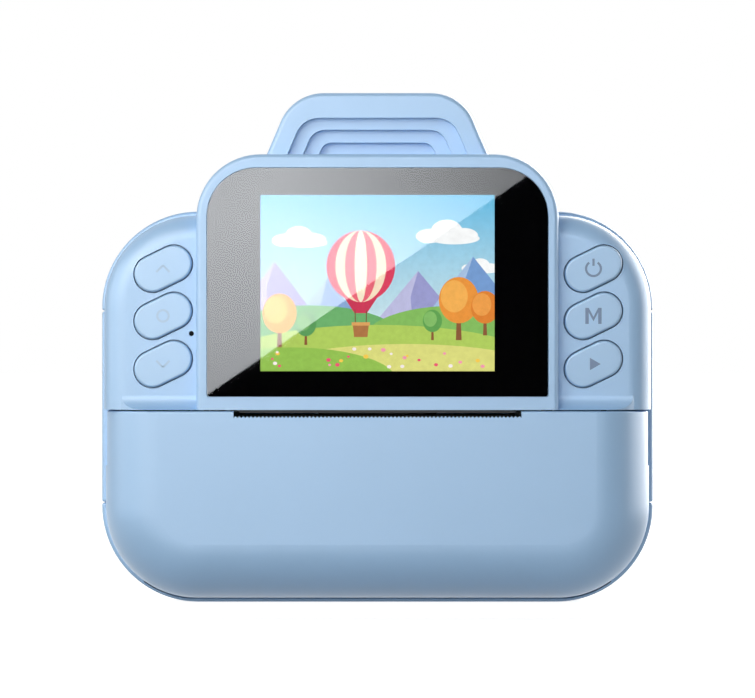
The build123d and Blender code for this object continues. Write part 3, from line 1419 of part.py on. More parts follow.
def centre_distance(teeth, partner_teeth):
    """The distance between two gear centres, with a little slack."""
    return GEAR_MODULE * (teeth + partner_teeth) / 2 + CENTRE_SLACK


def spur_gear(teeth, centre, phase, bore):
    """A spur gear on an axis along X."""
    gear = along_x(Pos(*centre) * gear_outline(teeth, phase), GEAR_FRONT_X, GEAR_BACK_X)
    return gear - rod_x(bore, GEAR_FRONT_X - BEYOND, GEAR_BACK_X + BEYOND, *centre)


def moved(point, distance, degrees):
    """A (Y, Z) point moved by a distance in a direction."""
    dy, dz = polar(distance, degrees)
    return point[0] + dy, point[1] + dz


def platen_gear():
    """The gear on the end of the platen shaft."""
    phase = mesh_phase(IDLER_PHASE, IDLER_TEETH, IDLER_TO_PLATEN, PLATEN_TEETH)
    return spur_gear(PLATEN_TEETH, (PLATEN_Y, PLATEN_Z), phase, PLATEN_SHAFT_RADIUS)


def idler_gear():
    """The gear between the motor pinion and the platen gear."""
    return spur_gear(IDLER_TEETH, IDLER_CENTRE, IDLER_PHASE, IDLER_PIN_RADIUS + FIT)


def motor_pinion():
    """The small gear on the motor shaft."""
    phase = mesh_phase(IDLER_PHASE, IDLER_TEETH, MOTOR_DIRECTION, PINION_TEETH)
    return spur_gear(PINION_TEETH, PINION_CENTRE, phase, MOTOR_SHAFT_RADIUS)


def idler_pin():
    """The fixed pin that the idler gear turns on."""
    return rod_x(IDLER_PIN_RADIUS, CHASSIS_INNER_X, BRACKET_X + BRACKET_THICKNESS, *IDLER_CENTRE)


def motor_shaft():
    """The turning shaft of the stepper motor."""
    end_x = BRACKET_X + BRACKET_THICKNESS + MOTOR_SHAFT_DEPTH
    return rod_x(MOTOR_SHAFT_RADIUS, GEAR_FRONT_X - SHAFT_OVERHANG, end_x, *PINION_CENTRE)


def stepper_motor():
    """The round stepper motor that drives the platen."""
    front_x = BRACKET_X + BRACKET_THICKNESS
    motor = rod_x(MOTOR_RADIUS, front_x, front_x + MOTOR_LENGTH, *PINION_CENTRE)
    bore = (front_x - BEYOND, front_x + MOTOR_BORE_DEPTH)
    return motor - rod_x(MOTOR_SHAFT_RADIUS + FIT, *bore, *PINION_CENTRE)


def motor_bracket():
    """The plate that holds the motor and the outer end of the idler pin."""
    outline = Pos(*PINION_CENTRE) * Circle(MOTOR_RADIUS)
    outline += Pos(*IDLER_CENTRE) * Circle(BRACKET_EYE_RADIUS)
    outline += Pos(*BRACKET_WEB_CENTRE) * Rectangle(*BRACKET_WEB_SIZE)
    plate_x = (BRACKET_X, BRACKET_X + BRACKET_THICKNESS)
    bracket = along_x(outline, *plate_x)
    foot_x = (CHASSIS_OUTER_X, BRACKET_X)
    bracket += box_between(foot_x, BRACKET_FOOT_Y_RANGE, BRACKET_FOOT_Z_RANGE)
    bracket += box_between(plate_x, BRACKET_EAR_Y_RANGE, BRACKET_EAR_Z_RANGE)
    reach = (BRACKET_X - BEYOND, BRACKET_X + BRACKET_REACH)
    bracket -= rod_x(MOTOR_SHAFT_RADIUS + MOTOR_SHAFT_WAY, *reach, *PINION_CENTRE)
    return bracket - rod_x(IDLER_PIN_RADIUS, *reach, *IDLER_CENTRE)


# --- Power and boards -----------------------------------------------------------------------
def battery():
    """The rechargeable cell."""
    cell = Pos(*BATTERY_CENTRE) * Box(*BATTERY_SIZE)
    return fillet(cell.edges().filter_by(Axis.Z), BATTERY_CORNER)


def battery_tray():
    """The open tray that holds the cell against the front housing."""
    x, y, z = BATTERY_CENTRE
    width, depth, height = BATTERY_SIZE
    low_y = y - depth / 2
    high_y = y + TRAY_DEPTH
    inner_width = width + 2 * TRAY_CLEARANCE
    inner_height = height + 2 * TRAY_CLEARANCE
    half_width = width / 2 + TRAY_WALL
    half_height = height / 2 + TRAY_WALL
    shell = box_between(
        (x - half_width, x + half_width),
        (low_y - TRAY_FLOOR, high_y),
        (z - half_height, z + half_height),
    )
    hollow = box_between(
        (x - inner_width / 2, x + inner_width / 2),
        (low_y - TRAY_BACK_CLEARANCE, high_y + BEYOND),
        (z - inner_height / 2, z + inner_height / 2),
    )
    return shell - hollow


def main_board():
    """The main circuit board with its larger chips."""
    board = box_between(
        (-MAIN_BOARD_HALF_WIDTH, MAIN_BOARD_HALF_WIDTH),
        (MAIN_BOARD_Y, MAIN_BOARD_Y + MAIN_BOARD_THICKNESS),
        (MAIN_BOARD_BOTTOM_Z, MAIN_BOARD_TOP_Z),
    )
    for x, z, size in MAIN_CHIPS:
        board += box_between(
            (x - size / 2, x + size / 2),
            (MAIN_BOARD_Y - CHIP_HEIGHT, MAIN_BOARD_Y),
            (z - size / 2, z + size / 2),
        )
    for x, z in BOARD_POSTS:
        hole_end = MAIN_BOARD_Y + MAIN_BOARD_THICKNESS + BEYOND
        hole = rod_y(MAIN_BOARD_HOLE_RADIUS, MAIN_BOARD_Y - BEYOND, hole_end, x, z)
        for copy in both_sides(hole):
            board -= copy
    return board


# --- Fasteners ------------------------------------------------------------------------------
def screw(x, z, head_y, length, shank_radius, head_radius):
    """A pan-head screw whose head sits at head_y and whose shank points to +Y."""
    top_y = head_y - SCREW_HEAD_HEIGHT
    head = rod_y(head_radius, top_y, head_y, x, z)
    shank = rod_y(shank_radius, head_y, head_y + length, x, z)
    cross = Rectangle(CROSS_LENGTH, CROSS_WIDTH) + Rectangle(CROSS_WIDTH, CROSS_LENGTH)
    return head + shank - along_y(Pos(x, z) * cross, top_y - BEYOND, top_y + CROSS_DEPTH)


def housing_screws():
    """The two long screws that join the top cover to the rear housing."""
    right = screw(
        HOUSING_SCREW_X,
        HOUSING_SCREW_Z,
        HOUSING_SCREW_HEAD_Y,
        HOUSING_SCREW_LENGTH,
        HOUSING_SCREW_RADIUS,
        HOUSING_SCREW_HEAD_RADIUS,
    )
    return Compound(children=both_sides(right))


def chassis_screws():
    """The two screws that hold the printer chassis to the front housing."""
    right = screw(
        CHASSIS_SCREW_X,
        CHASSIS_SCREW_Z,
        CHASSIS_SCREW_HEAD_Y,
        CHASSIS_SCREW_LENGTH,
        CHASSIS_SCREW_RADIUS,
        CHASSIS_SCREW_HEAD_RADIUS,
    )
    return Compound(children=both_sides(right))


def board_screws():
    """The four screws of the main board, put in from the back."""
    screws = []
    for x, z in BOARD_POSTS:
        upright = screw(x, z, 0, BOARD_SCREW_LENGTH, PILOT_RADIUS, BOARD_SCREW_HEAD_RADIUS)
        head_y = MAIN_BOARD_Y + MAIN_BOARD_THICKNESS
        turned = Pos(0, head_y, 0) * mirror(upright, about=Plane.XZ)
        screws += both_sides(turned)
    return Compound(children=screws)


# --- Places that follow from the sizes above --------------------------------------------------
CHASSIS_FRONT_Y = ROLL_Y - ROLL_RADIUS - TROUGH_CLEARANCE - TROUGH_WALL + 0.7
SENSOR_Y = -8.0
REAR_LENS_FRONT_Y = -17.2
BUTTON_BOARD_POSTS = ((39.6, 78.0), (46.0, 43.3))
PLATEN_TO_IDLER = 180 - math.degrees(math.atan2(PLATEN_Y - HINGE_Y, PLATEN_Z - HINGE_Z))
IDLER_CENTRE = moved((PLATEN_Y, PLATEN_Z), centre_distance(PLATEN_TEETH, IDLER_TEETH), PLATEN_TO_IDLER)
IDLER_TO_PLATEN = PLATEN_TO_IDLER - 180
IDLER_PHASE = IDLER_TO_PLATEN
PINION_CENTRE = moved(IDLER_CENTRE, centre_distance(IDLER_TEETH, PINION_TEETH), MOTOR_DIRECTION)

STATIC_PARTS = {
    "top_cover": top_cover,
    "front_housing": front_housing,
    "chin_cover": chin_cover,
    "rear_housing": rear_housing,
    "lens_plate": lens_plate,
    "hump_cover": hump_cover,
    "selfie_mirror": selfie_mirror,
    "lens_base_ring": lens_base_ring,
    "lens_dome": lens_dome,
    "lens_trim_ring": lens_trim_ring,
    "lens_baffle": lens_baffle,
    "lens_barrel": lens_barrel,
    "lens_retainer_ring": lens_retainer_ring,
    "front_lens": front_lens,
    "rear_lens": rear_lens,
    "sensor_board": sensor_board,
    "screen_glass": screen_glass,
    "lcd_panel": lcd_panel,
    "lcd_flex": lcd_flex,
    "main_board": main_board,
    "button_switches": button_switches,
    "shutter_switch": shutter_switch,
    "speaker": speaker,
    "microphone": microphone,
    "battery": battery,
    "battery_tray": battery_tray,
    "side_board": side_board,
    "usb_port": usb_port,
    "card_reader": card_reader,
    "printer_chassis": printer_chassis,
    "thermal_head": thermal_head,
    "head_heatsink": head_heatsink,
    "head_leaf_spring": head_leaf_spring,
    "door_hinge_pins": door_hinge_pins,
    "stepper_motor": stepper_motor,
    "motor_bracket": motor_bracket,
    "idler_pin": idler_pin,
    "housing_screws": housing_screws,
    "chassis_screws": chassis_screws,
    "board_screws": board_screws,
}

MOVING_PARTS = {
    "paper_door": paper_door,
    "platen_bushes": platen_bushes,
    "platen_roller": platen_roller,
    "platen_shaft": platen_shaft,
    "platen_gear": platen_gear,
    "paper_roll": paper_roll,
    "roll_core": roll_core,
    "idler_gear": idler_gear,
    "motor_pinion": motor_pinion,
    "motor_shaft": motor_shaft,
    "shutter_button": shutter_button,
}


def main():
    """Build every part and write one STEP file for each."""
    os.makedirs("parts", exist_ok=True)
    for name, build in {**STATIC_PARTS, **MOVING_PARTS}.items():
        export_step(build(), f"parts/{name}.step")
    for x, names in BUTTON_NAMES.items():
        export_step(button_board(x), f"parts/{'left' if x > 0 else 'right'}_button_board.step")
        for name, z in zip(names, BUTTON_HEIGHTS):
            export_step(button(x, z), f"parts/{name}.step")


main()
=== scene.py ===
"""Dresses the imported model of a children's instant-print camera and sets its studio.

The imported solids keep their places. This script gives each of them its finish, adds the
fine pieces that the solids leave out, and sets the floor, the lamps and the camera.
All lengths are in metres unless a name says millimetres.
"""

from __future__ import annotations

import json
import logging
import math
import random
from dataclasses import dataclass
from enum import Enum
from typing import Any, Callable, Iterable, Sequence

import bmesh
import bpy
from mathutils import Matrix, Vector

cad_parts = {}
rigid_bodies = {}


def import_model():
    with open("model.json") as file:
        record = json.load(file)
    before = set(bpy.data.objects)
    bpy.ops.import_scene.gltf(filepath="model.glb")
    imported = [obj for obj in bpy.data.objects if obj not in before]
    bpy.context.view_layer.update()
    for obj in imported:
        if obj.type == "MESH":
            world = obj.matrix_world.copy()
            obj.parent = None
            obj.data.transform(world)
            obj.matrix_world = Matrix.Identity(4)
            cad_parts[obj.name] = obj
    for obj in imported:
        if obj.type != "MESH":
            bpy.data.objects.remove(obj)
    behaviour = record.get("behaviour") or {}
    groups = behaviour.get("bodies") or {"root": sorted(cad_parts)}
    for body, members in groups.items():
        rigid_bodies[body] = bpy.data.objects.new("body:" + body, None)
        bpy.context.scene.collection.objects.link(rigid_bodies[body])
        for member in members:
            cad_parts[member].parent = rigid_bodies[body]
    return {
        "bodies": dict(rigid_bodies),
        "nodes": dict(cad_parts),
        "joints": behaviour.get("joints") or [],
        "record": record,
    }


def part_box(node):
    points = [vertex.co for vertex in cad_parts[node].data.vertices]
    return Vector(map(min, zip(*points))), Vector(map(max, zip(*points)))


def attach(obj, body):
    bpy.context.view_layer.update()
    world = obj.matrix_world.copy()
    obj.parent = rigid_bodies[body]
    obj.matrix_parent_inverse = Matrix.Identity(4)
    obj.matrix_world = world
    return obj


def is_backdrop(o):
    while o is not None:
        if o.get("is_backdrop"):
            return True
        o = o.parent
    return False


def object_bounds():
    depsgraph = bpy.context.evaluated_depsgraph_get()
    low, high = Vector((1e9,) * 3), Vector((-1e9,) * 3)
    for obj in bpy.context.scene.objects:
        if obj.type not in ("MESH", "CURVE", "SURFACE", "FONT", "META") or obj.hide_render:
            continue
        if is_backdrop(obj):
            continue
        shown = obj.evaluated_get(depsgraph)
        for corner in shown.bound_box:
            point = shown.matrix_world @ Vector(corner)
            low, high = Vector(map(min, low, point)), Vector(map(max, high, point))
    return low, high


LOG = logging.getLogger("kids_camera")
MM = 0.001

Colour = tuple[float, float, float]
Point2 = tuple[float, float]
Corner = Sequence[float]
Tone = Colour | Callable[[float], Colour]


def rgb(red: int, green: int, blue: int) -> Colour:
    """Turns a display colour into the linear values that shaders use.

    Args:
        red: Red from 0 to 255.
        green: Green from 0 to 255.
        blue: Blue from 0 to 255.

    Returns:
        The three linear values from 0 to 1.
    """

    def linear(value: int) -> float:
        share = value / 255
        return share / 12.92 if share <= 0.04045 else ((share + 0.055) / 1.055) ** 2.4

    return linear(red), linear(green), linear(blue)


def shaded(colour: Colour, factor: float) -> tuple[float, float, float, float]:
    """Gives a colour with an alpha of one, made lighter or darker by a factor."""
    red, green, blue = (min(1.0, value * factor) for value in colour)
    return red, green, blue, 1.0


# --- Shader graphs --------------------------------------------------------------------------


class Graph:
    """The nodes of a material, or of the world, under construction."""

    def __init__(self, name: str, world: bool = False) -> None:
        """Starts an empty material or world with only its output.

        Args:
            name: Its name.
            world: Whether it is a world.
        """
        self.owner = (bpy.data.worlds if world else bpy.data.materials).new(name)
        self.owner.use_nodes = True
        self.tree = self.owner.node_tree
        self.tree.nodes.clear()
        self.output = self.add("OutputWorld" if world else "OutputMaterial")

    def feed(self, socket: bpy.types.NodeSocket, value: Any) -> None:
        """Links a socket to another one, or sets its value.

        Args:
            socket: The input to fill.
            value: An output socket to link, or the plain value to set.
        """
        if isinstance(value, bpy.types.NodeSocket):
            self.tree.links.new(value, socket)
        else:
            socket.default_value = value

    def add(self, kind: str, inputs: dict[Any, Any] | None = None, **settings: Any) -> bpy.types.Node:
        """Adds one node.

        Args:
            kind: The node's type without its ShaderNode prefix.
            inputs: Values or links by input name or place.
            **settings: Attributes of the node.

        Returns:
            The new node.
        """
        node = self.tree.nodes.new("ShaderNode" + kind)
        for name, value in settings.items():
            setattr(node, name, value)
        for name, value in (inputs or {}).items():
            self.feed(node.inputs[name], value)
        return node

    def place(self, scale: Sequence[float] = (1, 1, 1), centre: Sequence[float] = (0, 0, 0)) -> Any:
        """Gives the object's own coordinates, measured from a centre and scaled.

        Args:
            scale: The stretch of the pattern along each axis.
            centre: The point that becomes the pattern's origin.

        Returns:
            The vector output.
        """
        source = self.add("TexCoord").outputs["Object"]
        shift = [-c * s for c, s in zip(centre, scale)]
        return self.add("Mapping", {"Vector": source, "Scale": scale, "Location": shift}).outputs[0]

    def noise(self, size: float, detail: float = 2.0, vector: Any = None) -> bpy.types.NodeSocket:
        """Gives soft noise.

        Args:
            size: The size of one blotch in metres.
            detail: How many finer layers are added.
            vector: The coordinates to read, or None for the object's own.

        Returns:
            The value output.
        """
        place = self.place() if vector is None else vector
        wanted = {"Vector": place, "Scale": 1.0 / size, "Detail": detail, "Roughness": 0.55}
        return self.add("TexNoise", wanted).outputs[0]

    def math(self, operation: str, *values: Any) -> bpy.types.NodeSocket:
        """Adds a math node and gives its output."""
        return self.add("Math", dict(enumerate(values)), operation=operation).outputs[0]

    def spread(self, value: Any, low: float, high: float, start: float = 0.3, end: float = 0.7) -> Any:
        """Maps a value onto a range.

        Args:
            value: The input between start and end.
            low: The result at the start.
            high: The result at the end.
            start: The lowest input that counts.
            end: The highest input that counts.

        Returns:
            The mapped output.
        """
        wanted = {"Value": value, "From Min": start, "From Max": end, "To Min": low, "To Max": high}
        return self.add("MapRange", wanted).outputs[0]

    def ramp(self, factor: Any, stops: Sequence[tuple[float, Sequence[float]]]) -> Any:
        """Turns a value into a colour.

        Args:
            factor: The value from 0 to 1.
            stops: Places and their colours.

        Returns:
            The colour output.
        """
        node = self.add("ValToRGB", {"Fac": factor})
        elements = node.color_ramp.elements
        while len(elements) < len(stops):
            elements.new(0.5)
        for element, (position, colour) in zip(elements, stops):
            element.position = position
            element.color = tuple(colour) if len(colour) == 4 else (*colour, 1.0)
        return node.outputs["Color"]

    def blend(self, factor: Any, colour: Colour, low: Point2, high: Point2) -> Any:
        """Shades a colour between two places, each given with its factor of brightness."""
        return self.ramp(factor, [(place, shaded(colour, share)) for place, share in (low, high)])

    def bump(self, height: Any, distance: float) -> Any:
        """Turns a height into a bumped normal, as deep in metres as the distance."""
        return self.add("Bump", {"Height": height, "Distance": distance, "Strength": 1.0}).outputs[0]

    def skin(self, **inputs: Any) -> bpy.types.Material:
        """Adds the surface shader and joins it to the output.

        Args:
            **inputs: Shader inputs by name, with underscores for spaces.

        Returns:
            The finished material.
        """
        names = {key.replace("_", " "): value for key, value in inputs.items()}
        return self.surface(self.add("BsdfPrincipled", names))

    def surface(self, shader: bpy.types.Node) -> Any:
        """Joins a shader to the output and gives the finished material or world."""
        self.tree.links.new(shader.outputs[0], self.output.inputs["Surface"])
        return self.owner

    def shine(self, strength: Any, colour: Sequence[float] = (1.0, 1.0, 1.0, 1.0)) -> bpy.types.Material:
        """Finishes a material that only glows."""
        return self.surface(self.add("Emission", {"Color": colour, "Strength": strength}))

    def seen(self) -> bpy.types.NodeSocket:
        """Gives 1 to rays from the camera, a reflection or clear glass, and 0 to the rest."""
        path = self.add("LightPath").outputs
        seen = self.math("MAXIMUM", path["Is Camera Ray"], path["Is Glossy Ray"])
        return self.math("MAXIMUM", seen, path["Is Transmission Ray"])

    def axes(self, vector: Any = None) -> Any:
        """Splits a vector, or the object's own coordinates, into X, Y and Z."""
        return self.add("SeparateXYZ", {0: self.place() if vector is None else vector}).outputs


# --- Finishes -------------------------------------------------------------------------------


@dataclass(frozen=True)
class MouldedPlastic:
    """Injection-moulded plastic with a fine even grain and a barely mottled colour."""

    name: str
    colour: Colour
    roughness: float = 0.42
    grain: float = 0.00022
    depth: float = 0.000006
    cloud: float = 0.022
    mottle: float = 0.012
    haze: float = 0.006
    coat: float = 0.0
    level: float = 0.6

    def build(self) -> bpy.types.Material:
        """Builds the material."""
        graph = Graph(self.name)
        cloud = graph.noise(self.cloud, 3.0)
        tone = graph.blend(cloud, self.colour, (0.3, 1 - self.mottle), (0.7, 1 + self.mottle))
        grain = graph.noise(self.grain, 1.0)
        gloss = graph.spread(graph.noise(self.haze), self.roughness - 0.03, self.roughness + 0.03)
        return graph.skin(
            Base_Color=tone,
            Roughness=gloss,
            Normal=graph.bump(grain, self.depth),
            Specular_IOR_Level=self.level,
            Coat_Weight=self.coat,
            Coat_Roughness=0.3,
        )


@dataclass(frozen=True)
class TurnedMetal:
    """Metal with fine tool marks drawn out along one axis."""

    name: str
    colour: Colour
    roughness: float = 0.28
    stretch: tuple[float, float, float] = (1.0, 14.0, 14.0)
    depth: float = 0.000004

    def build(self) -> bpy.types.Material:
        """Builds the material."""
        graph = Graph(self.name)
        marks = graph.noise(0.004, 4.0, graph.place(self.stretch))
        tone = graph.blend(marks, self.colour, (0.25, 0.86), (0.75, 1.08))
        return graph.skin(
            Base_Color=tone,
            Metallic=1.0,
            Roughness=graph.spread(marks, self.roughness - 0.07, self.roughness + 0.1),
            Normal=graph.bump(marks, self.depth),
        )


@dataclass(frozen=True)
class PaintedLensReflection:
    """A dark lens ring with painted coating reflections: magenta painted to one side and green to the
    other.
    """

    name: str
    centre: Point2
    reach: float
    lean: float = 0.75

    def build(self) -> bpy.types.Material:
        """Builds the material."""
        graph = Graph(self.name)
        axes = graph.axes(graph.place((1, 1, 1), (self.centre[0], 0.0, self.centre[1])))
        slant = graph.math("SUBTRACT", axes["X"], graph.math("MULTIPLY", axes["Z"], self.lean))
        # Painted reflection: the coating's magenta and green glints are painted into the base colour
        # along a fixed slant.
        tone = graph.ramp(
            graph.spread(slant, 0.0, 1.0, -self.reach, self.reach),
            [
                (0.0, rgb(70, 30, 60)),
                (0.2, rgb(158, 52, 112)),
                (0.36, rgb(26, 18, 28)),
                (0.62, rgb(16, 18, 18)),
                (0.86, rgb(122, 134, 70)),
                (1.0, rgb(60, 74, 44)),
            ],
        )
        grain = graph.noise(0.0003, 2.0)
        return graph.skin(
            Base_Color=tone,
            Roughness=graph.spread(grain, 0.24, 0.34),
            Normal=graph.bump(grain, 0.000002),
        )


@dataclass(frozen=True)
class WovenCloth:
    """A fine plain weave that runs along X and Z."""

    name: str
    colour: Colour
    thread: float = 0.0004

    def build(self) -> bpy.types.Material:
        """Builds the material."""
        graph = Graph(self.name)
        axes = graph.axes()
        turns = math.tau / self.thread
        warp, weft = (graph.math("SINE", graph.math("MULTIPLY", axes[axis], turns)) for axis in "XZ")
        weave = graph.spread(graph.math("MULTIPLY", warp, weft), 0.0, 1.0, -1.0, 1.0)
        return graph.skin(
            Base_Color=graph.blend(weave, self.colour, (0.2, 0.6), (0.8, 1.2)),
            Roughness=graph.spread(weave, 0.7, 0.9),
            Normal=graph.bump(weave, 0.00002),
        )


@dataclass(frozen=True)
class ClearGlass:
    """Polished glass or clear acrylic."""

    name: str
    level: float = 0.3
    index: float = 1.5

    def build(self) -> bpy.types.Material:
        """Builds the material."""
        graph = Graph(self.name)
        return graph.skin(
            Base_Color=(1.0, 1.0, 1.0, 1.0),
            Roughness=graph.spread(graph.noise(0.012, 3.0), 0.0, 0.02),
            IOR=self.index,
            Transmission_Weight=1.0,
            Specular_IOR_Level=self.level,
        )


@dataclass(frozen=True)
class SilveredMirror:
    """A small silvered acrylic plate with a faint haze."""

    name: str

    def build(self) -> bpy.types.Material:
        """Builds the material."""
        graph = Graph(self.name)
        haze = graph.noise(0.009, 3.0)
        tone = graph.ramp(haze, [(0.3, rgb(196, 201, 207)), (0.7, rgb(206, 211, 216))])
        return graph.skin(Base_Color=tone, Metallic=1.0, Roughness=graph.spread(haze, 0.015, 0.04))


@dataclass(frozen=True)
class WoundPaper:
    """Thermal paper on a roll, with its turns showing on the two ends."""

    name: str
    axis: Point2
    turn: float = 0.00045

    def build(self) -> bpy.types.Material:
        """Builds the material."""
        graph = Graph(self.name)
        axes = graph.axes(graph.place((1, 1, 1), (0.0, *self.axis)))
        flat = graph.add("CombineXYZ", {1: axes["Y"], 2: axes["Z"]}).outputs[0]
        radius = graph.add("VectorMath", {0: flat}, operation="LENGTH").outputs["Value"]
        turns = graph.math("SINE", graph.math("MULTIPLY", radius, math.tau / self.turn))
        facing = graph.axes(graph.add("NewGeometry").outputs["True Normal"])
        on_end = graph.math("POWER", graph.math("ABSOLUTE", facing["X"]), 4.0)
        lines = graph.math("MULTIPLY", graph.spread(turns, 0.0, 1.0, -1.0, 1.0), on_end)
        tone = graph.ramp(lines, [(0.0, rgb(240, 241, 240)), (1.0, rgb(205, 206, 206))])
        fibre = graph.noise(0.0005, 3.0)
        return graph.skin(
            Base_Color=tone,
            Roughness=graph.spread(fibre, 0.42, 0.58),
            Normal=graph.bump(graph.math("ADD", graph.math("MULTIPLY", fibre, 0.2), lines), 0.00002),
        )


@dataclass(frozen=True)
class PrintedBoard:
    """A circuit board: solder mask with traces and tinned vias on both faces."""

    name: str
    mask: Colour
    trace: Colour

    def build(self) -> bpy.types.Material:
        """Builds the material."""
        graph = Graph(self.name)
        place = graph.place()
        cells = graph.add(
            "TexVoronoi",
            {"Vector": place, "Scale": 420.0, "Randomness": 0.8},
            feature="F1",
            distance="CHEBYCHEV",
        )
        edges = graph.math("FRACT", graph.math("MULTIPLY", cells.outputs["Distance"], 5.0))
        lines = graph.spread(edges, 0.0, 1.0, 0.55, 0.6)
        vias = graph.add("TexVoronoi", {"Vector": place, "Scale": 300.0}, feature="F1")
        dots = graph.math("LESS_THAN", vias.outputs["Distance"], 0.13)
        mask = graph.ramp(lines, [(0.0, self.mask), (1.0, self.trace)])
        tin = graph.ramp(dots, [(0.0, (0.0, 0.0, 0.0)), (1.0, rgb(210, 200, 170))])
        tone = graph.add("MixRGB", {"Fac": 1.0, "Color1": mask, "Color2": tin}, blend_type="LIGHTEN")
        return graph.skin(
            Base_Color=tone.outputs[0],
            Metallic=graph.math("MULTIPLY", dots, 0.9),
            Roughness=graph.spread(lines, 0.42, 0.3, 0.0, 1.0),
            Normal=graph.bump(lines, 0.00003),
        )


@dataclass(frozen=True)
class ShrinkWrap:
    """The bright film shrunk round a battery, with faint wrinkles."""

    name: str
    colour: Colour

    def build(self) -> bpy.types.Material:
        """Builds the material."""
        graph = Graph(self.name)
        creases = graph.noise(0.005, 3.0, graph.place((1.0, 1.0, 4.0)))
        tone = graph.blend(creases, self.colour, (0.3, 0.93), (0.7, 1.06))
        return graph.skin(
            Base_Color=tone,
            Roughness=0.28,
            Normal=graph.bump(creases, 0.00012),
            Coat_Weight=0.4,
            Coat_Roughness=0.1,
        )


@dataclass(frozen=True)
class BlackRubber:
    """Ground rubber with a dull, slightly dusty surface."""

    name: str
    colour: Colour

    def build(self) -> bpy.types.Material:
        """Builds the material."""
        graph = Graph(self.name)
        ground = graph.noise(0.0009, 3.0, graph.place((0.3, 1.0, 1.0)))
        tone = graph.blend(ground, self.colour, (0.3, 0.85), (0.7, 1.25))
        return graph.skin(
            Base_Color=tone,
            Roughness=graph.spread(ground, 0.62, 0.8),
            Normal=graph.bump(ground, 0.00003),
        )


@dataclass(frozen=True)
class PaintedFilm:
    """A lit picture: each face shows the colour of its Paint attribute."""

    name: str
    glow: float = 1.0

    def build(self) -> bpy.types.Material:
        """Builds the material."""
        graph = Graph(self.name)
        paint = graph.add("Attribute", attribute_name="Paint").outputs["Color"]
        weave = graph.spread(graph.noise(0.0011, 2.0), 0.95, 1.05)
        tone = graph.add("MixRGB", {"Fac": 1.0, "Color1": paint}, blend_type="MULTIPLY")
        graph.feed(tone.inputs["Color2"], weave)
        return graph.skin(
            Base_Color=(0.01, 0.01, 0.01, 1.0),
            Roughness=0.5,
            Specular_IOR_Level=0.0,
            Emission_Color=tone.outputs[0],
            Emission_Strength=self.glow,
        )


BABY_BLUE = rgb(153, 192, 230)

FINISHES: dict[str, Any] = {
    "shell_blue": MouldedPlastic("Shell plastic", BABY_BLUE, coat=0.4),
    "plate_blue": MouldedPlastic("Front plate plastic", rgb(152, 192, 230), 0.38, coat=0.4),
    "bezel_blue": MouldedPlastic("Lens dome plastic", rgb(154, 193, 231), 0.36, coat=0.5),
    "baffle_blue": MouldedPlastic("Baffle plastic", rgb(158, 195, 226), 0.42),
    "trim_pale": MouldedPlastic("Trim plastic", rgb(146, 184, 219), 0.34),
    "button_blue": MouldedPlastic("Button plastic", rgb(157, 195, 231), 0.36, coat=0.4),
    "screen_glass": ClearGlass("Screen glass"),
    "screen_panel": MouldedPlastic("Display panel", rgb(14, 15, 18), 0.3, depth=0.000001, level=0.1),
    "mirror": SilveredMirror("Mirror plate"),
    "lens_glass": ClearGlass("Lens glass", level=0.12, index=1.1),
    "black_plastic": MouldedPlastic("Black plastic", rgb(22, 23, 25), 0.48),
    "grey_plastic": MouldedPlastic("Grey plastic", rgb(150, 155, 160), 0.5),
    "white_plastic": MouldedPlastic("White gear plastic", rgb(232, 231, 226), 0.34, depth=0.000003),
    "core_plastic": MouldedPlastic("Roll core plastic", rgb(226, 222, 208), 0.46),
    "black_rubber": BlackRubber("Platen rubber", rgb(34, 34, 35)),
    "paper": WoundPaper("Thermal paper", (0.0055, 0.0195)),
    "circuit_board": PrintedBoard("Circuit board", rgb(16, 84, 52), rgb(34, 118, 74)),
    "flex_cable": MouldedPlastic("Flex cable film", rgb(188, 120, 44), 0.3, coat=0.4),
    "battery_wrap": ShrinkWrap("Battery wrap", rgb(66, 112, 168)),
    "speaker_metal": TurnedMetal("Speaker metal", rgb(150, 150, 152), 0.42),
    "motor_steel": TurnedMetal("Motor can steel", rgb(176, 178, 182), 0.34),
    "bright_steel": TurnedMetal("Bright steel", rgb(206, 208, 212), 0.22),
    "aluminium": TurnedMetal("Aluminium", rgb(200, 203, 207), 0.4, (1.0, 18.0, 18.0)),
    "brass": TurnedMetal("Brass", rgb(212, 178, 96), 0.26),
}


class Sign(Enum):
    """The mark on each of the six keys."""

    POWER = "power"
    MODE = "mode"
    PLAY = "play"
    UP = "up"
    OK = "ok"
    DOWN = "down"


# --- Meshes ---------------------------------------------------------------------------------

ALONG_Y = Matrix.Rotation(math.pi / 2, 4, "X")


def placed(name: str, bm: bmesh.types.BMesh, material: bpy.types.Material) -> bpy.types.Object:
    """Turns a finished mesh into an object of the scene.

    Args:
        name: The name of both.
        bm: The mesh, which is freed.
        material: The material that it shows.

    Returns:
        The new object.
    """
    mesh = bpy.data.meshes.new(name)
    bm.to_mesh(mesh)
    bm.free()
    mesh.materials.append(material)
    thing = bpy.data.objects.new(name, mesh)
    bpy.context.scene.collection.objects.link(thing)
    return thing


def cut(bm: bmesh.types.BMesh, point: Corner, normal: Corner, clear: bool = False) -> None:
    """Cuts a whole mesh along a plane.

    Args:
        bm: The mesh.
        point: A point of the plane.
        normal: The way that the plane faces.
        clear: Whether what lies before the plane goes.
    """
    everything = bm.faces[:] + bm.edges[:] + bm.verts[:]
    bmesh.ops.bisect_plane(bm, geom=everything, plane_co=point, plane_no=normal, clear_outer=clear)


